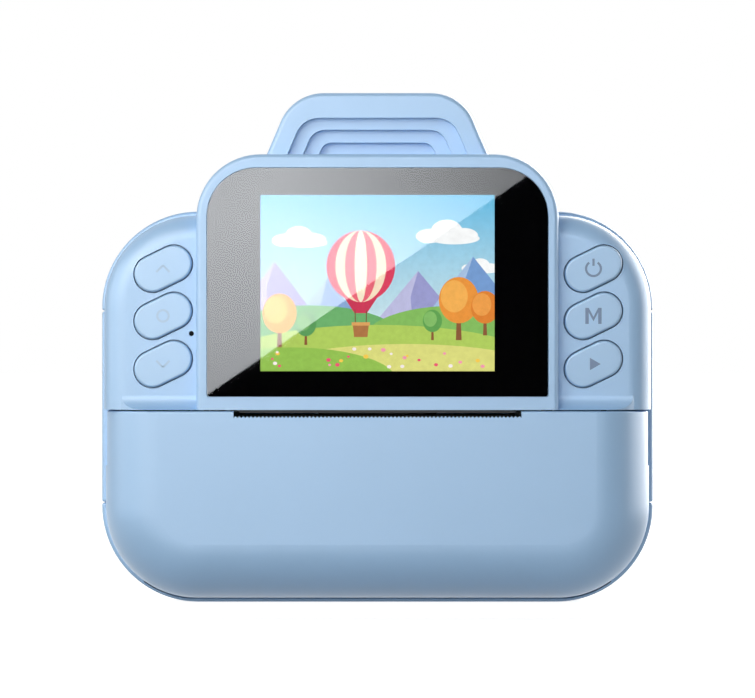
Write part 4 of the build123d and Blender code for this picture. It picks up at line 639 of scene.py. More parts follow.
class Piece:
    """One mesh under construction, which becomes a piece of the object."""

    def __init__(self, name: str) -> None:
        """Starts an empty mesh.

        Args:
            name: The name of the piece.
        """
        self.name = name
        self.bm = bmesh.new()

    def box(self, low: Corner, high: Corner, edge: float = 0.0) -> None:
        """Adds a box with softened edges.

        Args:
            low: Its lowest corner.
            high: Its highest corner.
            edge: The width of the bevel, or 0 for none.
        """
        size = Vector(high) - Vector(low)
        spot = Matrix.Translation((Vector(high) + Vector(low)) / 2) @ Matrix.Diagonal((*size, 1.0))
        made = bmesh.ops.create_cube(self.bm, size=1.0, matrix=spot)
        if edge > 0:
            self.soften(list({e for v in made["verts"] for e in v.link_edges}), edge, 2)

    def soften(self, edges: Sequence[bmesh.types.BMEdge], width: float, segments: int) -> None:
        """Bevels some edges.

        Args:
            edges: The edges.
            width: The width of the bevel.
            segments: How many faces go round it.
        """
        bmesh.ops.bevel(
            self.bm,
            geom=edges,
            offset=width,
            offset_type="OFFSET",
            affect="EDGES",
            segments=segments,
            profile=0.5,
            material=-1,
        )

    def rod(self, radius: float, depth: float, middle: Corner, sides: int, taper: float = 1.0) -> None:
        """Adds a capped rod or cone along Y.

        Args:
            radius: The radius of its base.
            depth: Its length.
            middle: The point halfway along it.
            sides: How many sides it has.
            taper: The radius of its top as a share of its base.
        """
        bmesh.ops.create_cone(
            self.bm,
            cap_ends=True,
            segments=sides,
            radius1=radius,
            radius2=radius * taper,
            depth=depth,
            matrix=Matrix.Translation(middle) @ ALONG_Y,
        )

    def finish(self, body: str, slot: str, material: bpy.types.Material, smooth: bool = False) -> None:
        """Turns the mesh into a piece that rides on a body.

        Args:
            body: The body that carries it.
            slot: The record's material slot; not used.
            material: The material that it shows.
            smooth: Whether its faces are shaded smoothly.
        """
        bmesh.ops.recalc_face_normals(self.bm, faces=self.bm.faces)
        thing = placed(self.name, self.bm, material)
        for polygon in thing.data.polygons:
            polygon.use_smooth = smooth
        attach(thing, body)
        LOG.info("made %s with %d faces on %s", self.name, len(thing.data.polygons), body)


class Skins:
    """The materials, one for each slot, and the nodes that wear them."""

    def __init__(self) -> None:
        """Builds every slot's material."""
        self.by_slot = {slot: finish.build() for slot, finish in FINISHES.items()}

    def dress(self, frame: dict[str, Any]) -> None:
        """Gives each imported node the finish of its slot.

        Args:
            frame: What the loaded frame holds.
        """
        worn = {part["node"]: part["material_slot"] for part in frame["record"]["subparts"]}
        for name, thing in frame["nodes"].items():
            thing.data.materials.clear()
            thing.data.materials.append(self.by_slot[worn[name]])
        LOG.info("dressed %d nodes", len(frame["nodes"]))


class Painting(Piece):
    """Flat coloured shapes laid on each other, each a hair nearer to the eye."""

    LAYER = 0.000004

    def __init__(self, name: str, window: tuple[float, float, float, float], base: float) -> None:
        """Starts the picture.

        Args:
            name: The name of the piece.
            window: Its left, bottom, right and top, seen from behind the camera.
            base: How far back its lowest layer lies.
        """
        super().__init__(name)
        self.window = window
        self.depth = base
        self.paint = self.bm.loops.layers.float_color.new("Paint")

    def lay(self, vertices: Iterable[bmesh.types.BMVert], colour: Tone) -> None:
        """Clips a new shape to the window, colours it and lays it on top.

        Args:
            vertices: The shape's vertices, with X and Y across and up the picture.
            colour: One colour, or a colour for each height.
        """
        left, bottom, right, top = self.window
        faces = list({face for vertex in vertices for face in vertex.link_faces})
        for point, normal in (
            ((left, 0, 0), (-1, 0, 0)),
            ((right, 0, 0), (1, 0, 0)),
            ((0, bottom, 0), (0, -1, 0)),
            ((0, top, 0), (0, 1, 0)),
        ):
            alive = [face for face in faces if face.is_valid]
            bounds = {e for f in alive for e in f.edges} | {v for f in alive for v in f.verts}
            geometry = list(bounds) + alive
            kept = bmesh.ops.bisect_plane(
                self.bm, geom=geometry, plane_co=point, plane_no=normal, clear_outer=True
            )
            faces = [item for item in kept["geom"] if isinstance(item, bmesh.types.BMFace)]
        if not faces:
            return
        inside = list({vertex for face in faces for vertex in face.verts})
        for face in faces:
            for loop in face.loops:
                tone = colour(loop.vert.co.y) if callable(colour) else colour
                loop[self.paint] = (*tone, 1.0)
        turn = Matrix(((-1, 0, 0, 0), (0, 0, 1, self.depth), (0, 1, 0, 0), (0, 0, 0, 1)))
        bmesh.ops.transform(self.bm, matrix=turn, verts=inside)
        self.depth += self.LAYER

    def blob(self, x: float, y: float, wide: float, tall: float, colour: Tone, sides: int = 28) -> None:
        """Lays an ellipse.

        Args:
            x: Its centre across the picture.
            y: Its centre up the picture.
            wide: Half its width.
            tall: Half its height.
            colour: Its colour.
            sides: How many sides it has.
        """
        spot = Matrix.Translation((x, y, 0)) @ Matrix.Diagonal((wide, tall, 1, 1))
        made = bmesh.ops.create_circle(self.bm, cap_ends=True, segments=sides, radius=1.0, matrix=spot)
        self.lay(made["verts"], colour)

    def patch(self, points: Sequence[Point2], colour: Tone) -> None:
        """Lays a polygon with a few corners."""
        corners = [self.bm.verts.new((x, y, 0)) for x, y in points]
        self.bm.faces.new(corners)
        self.lay(corners, colour)

    def taper(self, x: float, foot: Point2, head: Point2, colour: Colour) -> None:
        """Lays an upright shape about a middle line.

        Args:
            x: Its middle line across the picture.
            foot: Half the width and the height of its lower end.
            head: Half the width and the height of its upper end.
            colour: Its colour.
        """
        (low_half, low), (high_half, high) = foot, head
        corners = ((-low_half, low), (low_half, low), (high_half, high), (-high_half, high))
        self.patch([(x + across, up) for across, up in corners], colour)

    def sky(self, low: Colour, high: Colour) -> None:
        """Lays the graded ground of the picture.

        Args:
            low: The colour at the bottom.
            high: The colour at the top.
        """
        left, bottom, right, top = self.window
        centre = Matrix.Translation(((left + right) / 2, (bottom + top) / 2, 0))
        spot = centre @ Matrix.Diagonal((right - left, top - bottom, 1, 1))
        made = bmesh.ops.create_grid(self.bm, x_segments=1, y_segments=10, size=0.5, matrix=spot)

        def tone(height: float) -> Colour:
            share = (height - bottom) / (top - bottom)
            return tuple(a + (b - a) * share for a, b in zip(low, high))

        self.lay(made["verts"], tone)


# --- Sub-assemblies -------------------------------------------------------------------------

# The picture on the screen. Lengths are across and up the picture, seen from behind the camera.
# Clouds: centre, height over the middle, size in millimetres. Puffs: offset and half sizes.
CLOUDS = ((-0.0165, 0.0095, 1.0), (0.0145, 0.0105, 1.15), (0.0215, 0.0035, 0.7))
PUFFS = ((-3.2, -0.6, 2.4, 1.3), (0.0, 0.2, 2.9, 2.2), (3.1, -0.5, 2.6, 1.4), (1.4, -1.0, 4.6, 1.1))
# Mountains: centre, top, half width, shaded and lit colours.
PEAKS = (
    (-0.0215, 0.0725, 0.0105, rgb(166, 160, 208), rgb(196, 190, 226)),
    (-0.0105, 0.0690, 0.0085, rgb(132, 166, 214), rgb(170, 196, 230)),
    (0.0085, 0.0705, 0.0100, rgb(150, 152, 206), rgb(188, 188, 226)),
    (0.0200, 0.0735, 0.0120, rgb(120, 158, 210), rgb(162, 192, 228)),
)
# Hills from the far one to the near one: centre, half sizes and colour.
HILLS = (
    (-0.014, 0.0555, 0.020, 0.0078, rgb(110, 178, 110)),
    (0.016, 0.0560, 0.019, 0.0072, rgb(134, 190, 96)),
    (0.000, 0.0510, 0.034, 0.0082, rgb(178, 208, 96)),
    (0.006, 0.0490, 0.030, 0.0062, rgb(222, 222, 128)),
    (-0.018, 0.0475, 0.022, 0.0070, rgb(150, 196, 84)),
)
# Trees: foot, size in millimetres, shaded and lit colours.
TREES = (
    (0.0170, 0.0560, 1.35, rgb(236, 150, 62), rgb(246, 178, 86)),
    (0.0225, 0.0570, 0.95, rgb(226, 132, 52), rgb(240, 160, 76)),
    (-0.0205, 0.0545, 1.15, rgb(242, 172, 70), rgb(250, 200, 104)),
    (-0.0150, 0.0550, 0.70, rgb(92, 158, 92), rgb(124, 184, 110)),
    (0.0115, 0.0560, 0.65, rgb(98, 164, 84), rgb(132, 190, 104)),
)
# The balloon's stripes: share of its width and colour.
STRIPES = (
    (1.0, rgb(222, 66, 96)),
    (0.74, rgb(250, 226, 196)),
    (0.46, rgb(238, 104, 122)),
    (0.18, rgb(252, 236, 208)),
)
PETALS = (rgb(238, 92, 118), rgb(250, 240, 236), rgb(246, 158, 178), rgb(250, 206, 84))


@dataclass
class Display:
    """The screen: the lit picture and the black print behind the glass."""

    half_width: float = 0.0245
    bottom: float = 0.0495
    top: float = 0.0864
    print_depth: float = 0.00001
    air: float = 0.00002

    def build(self) -> None:
        """Makes the picture and the print."""
        self.picture()
        self.black_print()

    def picture(self) -> None:
        """Makes a landscape of hills, round trees and a striped balloon."""
        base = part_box("lcd_panel")[1].y + self.air
        window = (-self.half_width, self.bottom, self.half_width, self.top)
        art = Painting("screen_picture", window, base)
        middle = (self.bottom + self.top) / 2
        art.sky(rgb(226, 243, 240), rgb(82, 184, 226))
        self.clouds(art, middle)
        self.mountains(art)
        for x, y, wide, tall, colour in HILLS:
            art.blob(x, y, wide, tall, colour, 48)
        self.trees(art)
        self.balloon(art, -0.0035, middle + 0.0035)
        self.flowers(art)
        art.finish("camera", "screen_panel", PaintedFilm("Screen picture").build())

    @staticmethod
    def clouds(art: Painting, middle: float) -> None:
        """Lays the heaps of cloud."""
        for x, up, size in CLOUDS:
            scale = size * MM
            for dx, dy, wide, tall in PUFFS:
                spot = (x + dx * scale, middle + up + dy * scale)
                art.blob(*spot, wide * scale, tall * scale, rgb(250, 252, 252))

    @staticmethod
    def mountains(art: Painting) -> None:
        """Lays a far range in lilac and blue, with lit sides."""
        foot, fold, drop = 0.0585, 0.1, 0.0055
        for x, top, wide, shade, light in PEAKS:
            side = ((x + wide, foot), (x, top))
            art.patch(((x - wide, foot), *side), light)
            art.patch(((x - wide * fold, foot), *side, (x - wide * 0.16, top - drop)), shade)

    @staticmethod
    def trees(art: Painting) -> None:
        """Lays round trees in orange and green."""
        for x, foot, size, shade, light in TREES:
            scale = size * MM
            art.taper(x, (0.45 * scale, foot), (0.3 * scale, foot + 4 * scale), rgb(142, 92, 58))
            art.blob(x, foot + 6.2 * scale, 3.1 * scale, 3.6 * scale, shade)
            art.blob(x - 0.7 * scale, foot + 6.8 * scale, 2.1 * scale, 2.5 * scale, light)

    @staticmethod
    def balloon(art: Painting, x: float, y: float) -> None:
        """Lays a striped balloon with its basket.

        Args:
            art: The picture.
            x: The balloon's centre across the picture.
            y: The balloon's centre up the picture.
        """
        half_width, half_height = 0.0072, 0.0075
        art.taper(x, (0.0050, y - 0.0042), (0.0013, y - 0.0098), rgb(206, 58, 88))
        for side in (-1, 1):
            corners = ((0.0011, 0.0092), (0.0013, 0.0092), (0.0012, 0.0128), (0.0010, 0.0128))
            art.patch([(x + side * out, y - down) for out, down in corners], rgb(120, 84, 60))
        for share, colour in STRIPES:
            art.blob(x, y, half_width * share, half_height, colour, 40)
        art.taper(x, (0.0017, y - 0.0120), (0.0014, y - 0.0148), rgb(176, 118, 70))
        art.taper(x, (0.0019, y - 0.0117), (0.0019, y - 0.0124), rgb(222, 164, 96))

    @staticmethod
    def flowers(art: Painting) -> None:
        """Lays small flowers over the near meadow."""
        dice = random.Random(7)
        for _ in range(26):
            x = dice.uniform(-0.0238, 0.0238)
            y = dice.uniform(0.0502, 0.0545)
            size = dice.uniform(0.00028, 0.0006)
            art.blob(x, y, size, size * 0.8, dice.choice(PETALS), 10)

    def black_print(self) -> None:
        """Makes the black border that is printed on the back of the glass."""
        border = Piece("screen_border")
        border.bm.from_mesh(bpy.data.objects["screen_glass"].data)
        bmesh.ops.remove_doubles(border.bm, verts=border.bm.verts, dist=1e-7)
        lowest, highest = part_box("screen_glass")
        back = [f for f in border.bm.faces if f.calc_center_median().y > highest.y - 1e-6]
        others = [f for f in border.bm.faces if f not in set(back)]
        bmesh.ops.delete(border.bm, geom=others, context="FACES")
        for point, normal in (
            ((-self.half_width, 0, 0), (1, 0, 0)),
            ((self.half_width, 0, 0), (1, 0, 0)),
            ((0, 0, self.bottom), (0, 0, 1)),
            ((0, 0, self.top), (0, 0, 1)),
        ):
            cut(border.bm, point, normal)
        middles = [(face, face.calc_center_median()) for face in border.bm.faces]
        lit = [f for f, m in middles if abs(m.x) < self.half_width and self.bottom < m.z < self.top]
        bmesh.ops.delete(border.bm, geom=lit, context="FACES")
        drop = lowest.y + self.print_depth - highest.y
        bmesh.ops.translate(border.bm, verts=border.bm.verts, vec=(0, drop, 0))
        ink = MouldedPlastic("Black print", rgb(6, 6, 8), 0.6, depth=0.0000005, level=0.0)
        border.finish("camera", "screen_panel", ink.build())


@dataclass
class KeySigns:
    """The marks on the six keys, a few hundredths of a millimetre proud."""

    height: float = 0.00004
    stroke: float = 0.00046
    letter_leg: float = 0.0007
    power_radius: float = 0.00155
    ring_radius: float = 0.0012
    play_radius: float = 0.0015
    wing: Point2 = (0.0014, 0.0007)

    def build(self) -> None:
        """Makes every key's mark."""
        strong = MouldedPlastic("Sign print", rgb(96, 119, 150), 0.4, depth=0.000001).build()
        faint = MouldedPlastic("Faint sign print", rgb(158, 188, 218), 0.36, depth=0.000001).build()
        for sign in Sign:
            ink = strong if sign in (Sign.POWER, Sign.MODE, Sign.PLAY) else faint
            self.mark(sign, ink)

    def mark(self, sign: Sign, ink: bpy.types.Material) -> None:
        """Makes one key's mark at the middle of its cap.

        Args:
            sign: Which mark it is.
            ink: The material that it shows.
        """
        low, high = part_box(f"{sign.value}_button")
        centre = Vector(((low.x + high.x) / 2, high.y, (low.z + high.z) / 2))
        piece = Piece(f"{sign.value}_sign")
        draw = {
            Sign.POWER: self.power,
            Sign.MODE: self.mode,
            Sign.PLAY: self.play,
            Sign.UP: lambda bm: self.chevron(bm, 1),
            Sign.OK: self.ring,
            Sign.DOWN: lambda bm: self.chevron(bm, -1),
        }[sign]
        draw(piece.bm)
        lifted = bmesh.ops.extrude_face_region(piece.bm, geom=piece.bm.faces[:])
        top = [item for item in lifted["geom"] if isinstance(item, bmesh.types.BMVert)]
        bmesh.ops.translate(piece.bm, verts=top, vec=(0, 0, self.height))
        turn = Matrix(((-1, 0, 0, centre.x), (0, 0, 1, centre.y), (0, 1, 0, centre.z), (0, 0, 0, 1)))
        bmesh.ops.transform(piece.bm, matrix=turn, verts=piece.bm.verts)
        piece.finish(f"{sign.value}_key", "button_blue", ink)

    def bar(self, bm: bmesh.types.BMesh, start: Point2, end: Point2) -> None:
        """Adds a straight stroke between two points."""
        run = Vector(end) - Vector(start)
        middle = (Vector(end) + Vector(start)) / 2
        turn = Matrix.Rotation(math.atan2(run.y, run.x), 4, "Z")
        spot = Matrix.Translation((*middle, 0)) @ turn @ Matrix.Diagonal((run.length, self.stroke, 1, 1))
        bmesh.ops.create_grid(bm, x_segments=1, y_segments=1, size=0.5, matrix=spot)

    def arc(self, bm: bmesh.types.BMesh, radius: float, start: float, sweep: float) -> None:
        """Adds a curved stroke.

        Args:
            bm: The mesh that takes it.
            radius: The radius of its middle line.
            start: Its first angle in degrees from the right.
            sweep: The angle in degrees that it covers.
        """
        inner, outer = radius - self.stroke / 2, radius + self.stroke / 2
        ends = [bm.verts.new((inner, 0, 0)), bm.verts.new((outer, 0, 0))]
        edge = bm.edges.new(ends)
        turn = Matrix.Rotation(math.radians(start), 3, "Z")
        bmesh.ops.rotate(bm, verts=ends, cent=(0, 0, 0), matrix=turn)
        bmesh.ops.spin(
            bm,
            geom=[edge, *ends],
            cent=(0, 0, 0),
            axis=(0, 0, 1),
            angle=math.radians(sweep),
            steps=28,
            use_merge=sweep >= 360,
        )

    def power(self, bm: bmesh.types.BMesh) -> None:
        """Draws an open ring with a bar at its top."""
        self.arc(bm, self.power_radius, 125, 290)
        self.bar(bm, (0, 0.0006), (0, 0.0021))

    def mode(self, bm: bmesh.types.BMesh) -> None:
        """Draws the mode letter as one outline."""
        half, tall, leg = 0.0017, 0.00168, self.letter_leg
        inner, notch, point = half - leg, -0.00022, -0.00114
        shoulder = point + (tall - notch)
        outline = [(-half, -tall), (-half, tall), (-inner, tall), (0, notch), (inner, tall)]
        outline += [(half, tall), (half, -tall), (inner, -tall), (inner, shoulder), (0, point)]
        outline += [(-inner, shoulder), (-inner, -tall)]
        bm.faces.new([bm.verts.new((x, y, 0)) for x, y in outline])

    def play(self, bm: bmesh.types.BMesh) -> None:
        """Draws a solid triangle that points to the right."""
        turn = Matrix.Rotation(-math.pi / 2, 4, "Z")
        bmesh.ops.create_circle(bm, cap_ends=True, segments=3, radius=self.play_radius, matrix=turn)

    def chevron(self, bm: bmesh.types.BMesh, side: int) -> None:
        """Draws an arrowhead that points up for a side of 1 and down for -1."""
        across, up = self.wing
        for wing in (-1, 1):
            self.bar(bm, (wing * across, -side * up), (0, side * up))

    def ring(self, bm: bmesh.types.BMesh) -> None:
        """Draws a closed ring."""
        self.arc(bm, self.ring_radius, 0, 360)


def spans(node: str) -> tuple[Vector, Vector, Vector]:
    """Gives a node's lowest corner, its highest corner and its middle."""
    low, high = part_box(node)
    return low, high, (low + high) / 2


@dataclass
class LensInside:
    """What shows through the front lens: a ring with painted coating reflections, a grey ring and a
    stepped black iris.
    """

    # Inner radius and thickness of the ring that carries the painted coating reflection.
    reflection_ring_bore: float = 0.00486
    reflection_ring_thickness: float = 0.00002
    ring_bore: float = 0.0041
    ring_radius: float = 0.00478
    ring_depth: float = 0.0006
    iris_hole: float = 0.0011
    iris_steps: int = 4

    def build(self) -> None:
        """Makes the two rings and the iris."""
        low, high, middle = spans("front_lens")
        radius = (high.x - low.x) / 2 - 0.0001
        front = high.y - self.reflection_ring_thickness
        bore = self.reflection_ring_bore
        flat = [(bore, front), (radius, front), (radius, high.y), (bore, high.y)]
        # This ring's base colour holds a painted coating reflection, magenta to one side and green to
        # the other.
        painted_reflection = PaintedLensReflection("Lens painted reflection", (middle.x, middle.z), radius * 1.25).build()
        self.turned("lens_painted_reflection", middle, flat).finish("camera", "black_plastic", painted_reflection, True)

        start = high.y + 0.00005
        end = start + self.ring_depth
        step = [
            (self.ring_bore, start + 0.0003),
            (self.ring_bore + 0.00012, start),
            (self.ring_radius, start),
            (self.ring_radius, end),
            (self.ring_bore, end),
        ]
        grey = MouldedPlastic("Grey lens ring", rgb(84, 82, 76), 0.4, depth=0.0).build()
        self.turned("lens_inner_ring", middle, step).finish("camera", "grey_plastic", grey)

        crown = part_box("rear_lens")[0].y
        black = MouldedPlastic("Iris black", rgb(7, 7, 7), 0.55, depth=0.0, level=0.1).build()
        iris = self.turned("lens_iris", middle, self.funnel(end, crown - 0.0002))
        iris.finish("camera", "black_plastic", black)

    def funnel(self, start: float, end: float) -> list[Point2]:
        """Works out the iris: a thin funnel that steps in towards its hole.

        Args:
            start: Where its wide end is along Y.
            end: Where its hole is along Y.

        Returns:
            The radius and the place along Y of each corner.
        """
        wide = self.ring_radius - 0.0001
        corners = []
        for count in range(self.iris_steps):
            share = count / self.iris_steps
            radius = wide + (self.iris_hole - wide) * share
            along = start + (end - start) * (share + 1 / self.iris_steps)
            corners += [(radius, along - (end - start) / self.iris_steps), (radius - 0.00015, along)]
        corners += [(self.iris_hole, end), (self.iris_hole, end + 0.0001), (wide, end + 0.0001)]
        return corners

    @staticmethod
    def turned(name: str, middle: Vector, corners: Sequence[Point2]) -> Piece:
        """Spins a closed outline about the lens axis.

        Args:
            name: The name of the piece.
            middle: A point on the axis.
            corners: The radius and the place along Y of each corner.

        Returns:
            The piece, not yet finished.
        """
        made = Piece(name)
        verts = [made.bm.verts.new((middle.x + across, along, middle.z)) for across, along in corners]
        edges = [made.bm.edges.new(pair) for pair in zip(verts, verts[1:] + verts[:1])]
        bmesh.ops.spin(
            made.bm,
            geom=verts + edges,
            cent=(middle.x, 0, middle.z),
            axis=(0, 1, 0),
            angle=math.tau,
            steps=72,
            use_merge=True,
        )
        bmesh.ops.remove_doubles(made.bm, verts=made.bm.verts, dist=1e-7)
        return made


@dataclass
class Ports:
    """The contacts in the two side ports, and the cloth behind the speaker holes."""

    contact_pitch: float = 0.0005
    contact_width: float = 0.00026
    card_pitch: float = 0.0011
    cloth_thickness: float = 0.00015
    edge: float = 0.0001
    # Reach back and forward from the port's middle, then half the depth and height.
    tongue: tuple[float, ...] = (0.0028, 0.0027, 0.00038, 0.00325)
    port_floor: tuple[float, ...] = (0.0029, -0.0024, 0.00115, 0.0034)

    def build(self) -> None:
        """Makes the contacts and the cloth."""
        gold = TurnedMetal("Gold contacts", rgb(222, 184, 98), 0.24, depth=0.000001).build()
        black = MouldedPlastic("Port black", rgb(20, 20, 22), 0.46, depth=0.000002).build()
        self.usb_tongue(black)
        self.usb_contacts(gold)
        self.card_flap(black)
        self.card_contacts(gold)
        self.speaker_cloth()
        self.microphone_felt()

    def usb_tongue(self, black: bpy.types.Material) -> None:
        """Covers the tongue and the floor of the port in black plastic.

        Args:
            black: The material of the cover.
        """
        _, _, middle = spans("usb_port")
        cover = Piece("usb_tongue")
        for back, front, half_y, half_z in (self.tongue, self.port_floor):
            low = middle - Vector((back, half_y, half_z))
            cover.box(low, middle + Vector((front, half_y, half_z)), self.edge)
        cover.finish("camera", "black_plastic", black)

    def card_flap(self, black: bpy.types.Material) -> None:
        """Closes the card slot with a black dust flap.

        Args:
            black: The material of the flap.
        """
        low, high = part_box("card_reader")
        flap = Piece("card_flap")
        start = (high.x - 0.0009, low.y + 0.00034, low.z + 0.00045)
        flap.box(start, (high.x - 0.0004, high.y - 0.00034, high.z - 0.00045), self.edge)
        flap.finish("camera", "black_plastic", black)

    def usb_contacts(self, gold: bpy.types.Material) -> None:
        """Lays twelve contacts on each side of the tongue.

        Args:
            gold: Their material.
        """
        half = self.contact_width / 2
        _, high, middle = spans("usb_port")
        contacts = Piece("usb_contacts")
        for side in (-1, 1):
            face = middle.y + side * 0.00039
            for count in range(12):
                z = middle.z + (count - 5.5) * self.contact_pitch
                start = (high.x - 0.0055, face - 0.00002, z - half)
                contacts.box(start, (high.x - 0.0011, face + 0.00002, z + half), 0.00001)
        contacts.finish("camera", "brass", gold)

    def card_contacts(self, gold: bpy.types.Material) -> None:
        """Sets eight sprung contacts in the card reader.

        Args:
            gold: Their material.
        """
        low, high, middle = spans("card_reader")
        contacts = Piece("card_contacts")
        for count in range(8):
            z = middle.z + (count - 3.5) * self.card_pitch
            for reach, rise in ((0.0022, 0.0), (0.0035, 0.0002), (0.0048, 0.00036)):
                start = (low.x + reach, high.y - 0.00046 - rise, z - 0.0003)
                end = (low.x + reach + 0.0015, high.y - 0.00034 - rise, z + 0.0003)
                contacts.box(start, end, 0.00003)
        contacts.finish("camera", "brass", gold)

    def speaker_cloth(self) -> None:
        """Stretches a dust cloth over the speaker."""
        low, high, middle = spans("speaker")
        cloth = Piece("speaker_cloth")
        radius = (high.x - low.x) / 2 - 0.0012
        place = (middle.x, low.y - self.cloth_thickness / 2 - 0.00002, middle.z)
        cloth.rod(radius, self.cloth_thickness, place, 48)
        rims = [e for e in cloth.bm.edges if len(e.link_faces) == 2 and e.calc_face_angle() > 1.0]
        cloth.soften(rims, 0.00004, 1)
        weave = WovenCloth("Speaker cloth", rgb(52, 54, 58)).build()
        cloth.finish("camera", "black_plastic", weave)

    def microphone_felt(self) -> None:
        """Lays a dark felt disc over the microphone, behind its hole."""
        low, high, middle = spans("microphone")
        felt = Piece("microphone_felt")
        felt.rod((high.x - low.x) / 2 - 0.00005, 0.00008, (middle.x, high.y + 0.00004, middle.z), 40)
        weave = WovenCloth("Microphone felt", rgb(16, 17, 19), 0.0003).build()
        felt.finish("camera", "black_plastic", weave)


@dataclass
class BoardParts:
    """The small parts that are soldered to the boards, and the tape round the battery."""

    solder: float = 0.00025
    tape_height: float = 0.005
    tape_proud: float = 1.008
    chip_pitch: Point2 = (0.0026, 0.0046)
    chip_stagger: float = 0.0006
    head_pitch: float = 0.0011

    def build(self) -> None:
        """Makes the parts of each board and the tape."""
        ceramic = MouldedPlastic("Capacitor ceramic", rgb(176, 142, 104), 0.4, depth=0.000001).build()
        housing = MouldedPlastic("Connector plastic", rgb(226, 220, 200), 0.44).build()
        tin = TurnedMetal("Soldered tin", rgb(196, 200, 204), 0.3, depth=0.000002).build()
        ferrite = MouldedPlastic("Coil ferrite", rgb(58, 60, 64), 0.36).build()
        self.chips(ceramic, tin)
        self.coils(ferrite)
        self.connectors(housing, tin)
        self.head_connector(housing, tin)
        self.battery_tape()

    def chips(self, ceramic: bpy.types.Material, tin: bpy.types.Material) -> None:
        """Sets rows of capacitors, with soldered ends, on the main and side boards.

        Args:
            ceramic: The material of their bodies.
            tin: The material of their ends.
        """
        bodies = Piece("board_capacitors")
        ends = Piece("board_solder")
        for node, columns, rows, x_start, z_start in (
            ("main_board", 6, 5, -0.027, 0.057),
            ("main_board", 6, 5, 0.0125, 0.057),
            ("side_board", 4, 4, 0.0435, 0.042),
        ):
            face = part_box(node)[1].y
            for count in range(columns * rows):
                x = x_start + (count % columns) * self.chip_pitch[0]
                z = z_start + (count // columns) * self.chip_pitch[1] + (count % 3) * self.chip_stagger
                bodies.box((x, face, z - 0.0004), (x + 0.0009, face + 0.0007, z + 0.0004), 0.00006)
                for tip in (x - self.solder, x + 0.0009):
                    end = (tip + self.solder, face + 0.0006, z + 0.0004)
                    ends.box((tip, face, z - 0.0004), end, 0.00005)
        bodies.finish("camera", "core_plastic", ceramic)
        ends.finish("camera", "bright_steel", tin)

    def coils(self, ferrite: bpy.types.Material) -> None:
        """Sets three round coils on the main board.

        Args:
            ferrite: Their material.
        """
        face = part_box("main_board")[1].y
        coils = Piece("board_coils")
        places = ((-0.0225, 0.0785, 0.0022), (-0.0165, 0.0788, 0.0018), (0.0215, 0.0785, 0.0022))
        for x, z, radius in places:
            for size, depth in ((radius, 0.0012), (radius * 0.82, 0.002)):
                coils.rod(size, depth, (x, face + depth / 2, z), 24, 0.92)
        coils.finish("camera", "black_plastic", ferrite)

    def connectors(self, housing: bpy.types.Material, tin: bpy.types.Material) -> None:
        """Sets two pin connectors on the main board.

        Args:
            housing: The material of their shells.
            tin: The material of their pins.
        """
        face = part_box("main_board")[1].y
        shells = Piece("board_connectors")
        pins = Piece("board_pins")
        pitch, low_z, high_z = 0.0015, 0.0494, 0.0528
        middle = (low_z + high_z) / 2
        for x_start, count in ((-0.0245, 5), (0.0145, 4)):
            width = (count + 1) * pitch
            shells.box((x_start, face, low_z), (x_start + width, face + 0.0008, high_z), 0.0001)
            for z in (low_z, high_z - 0.0006):
                shells.box((x_start, face, z), (x_start + width, face + 0.003, z + 0.0006), 0.0001)
            for index in range(count):
                x = x_start + (index + 1) * pitch
                end = (x + 0.0002, face + 0.0028, middle + 0.0002)
                pins.box((x - 0.0002, face, middle - 0.0002), end, 0.00005)
        shells.finish("camera", "white_plastic", housing)
        pins.finish("camera", "bright_steel", tin)

    def head_connector(self, housing: bpy.types.Material, tin: bpy.types.Material) -> None:
        """Sets the ribbon connector under the lip of the print head's heatsink.

        Args:
            housing: The material of its shell.
            tin: The material of its pins.
        """
        low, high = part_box("thermal_head")
        shell = Piece("head_connector")
        shell.box((-0.016, low.y - 0.0009, low.z + 0.0001), (0.016, low.y, high.z), 0.00015)
        shell.finish("camera", "white_plastic", housing)
        pins = Piece("head_pins")
        for index in range(28):
            x = (index - 13.5) * self.head_pitch
            end = (x + 0.0002, low.y - 0.0002, low.z + 0.0006)
            pins.box((x - 0.0002, low.y - 0.00098, low.z + 0.0002), end, 0.00004)
        pins.finish("camera", "bright_steel", tin)

    def battery_tape(self) -> None:
        """Wraps amber tape round the top of the battery, where it stands clear of its tray."""
        _, high, middle = spans("battery")
        tape = Piece("battery_tape")
        tape.bm.from_mesh(bpy.data.objects["battery"].data)
        bmesh.ops.remove_doubles(tape.bm, verts=tape.bm.verts, dist=1e-7)
        tray_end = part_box("battery_tray")[1].y
        for point, normal in (
            ((0, 0, high.z - self.tape_height), (0, 0, -1)),
            ((0, tray_end + 0.0004, 0), (0, -1, 0)),
        ):
            cut(tape.bm, point, normal, clear=True)
        proud = Vector((self.tape_proud, self.tape_proud, 1.0))
        bmesh.ops.translate(tape.bm, verts=tape.bm.verts, vec=-middle)
        bmesh.ops.scale(tape.bm, verts=tape.bm.verts, vec=proud)
        bmesh.ops.translate(tape.bm, verts=tape.bm.verts, vec=middle + Vector((0, 0, 0.00004)))
        colour = rgb(206, 138, 32)
        amber = MouldedPlastic("Amber tape", colour, 0.26, depth=0.000001, mottle=0.05, coat=0.5)
        tape.finish("camera", "battery_wrap", amber.build())


# --- Studio ---------------------------------------------------------------------------------


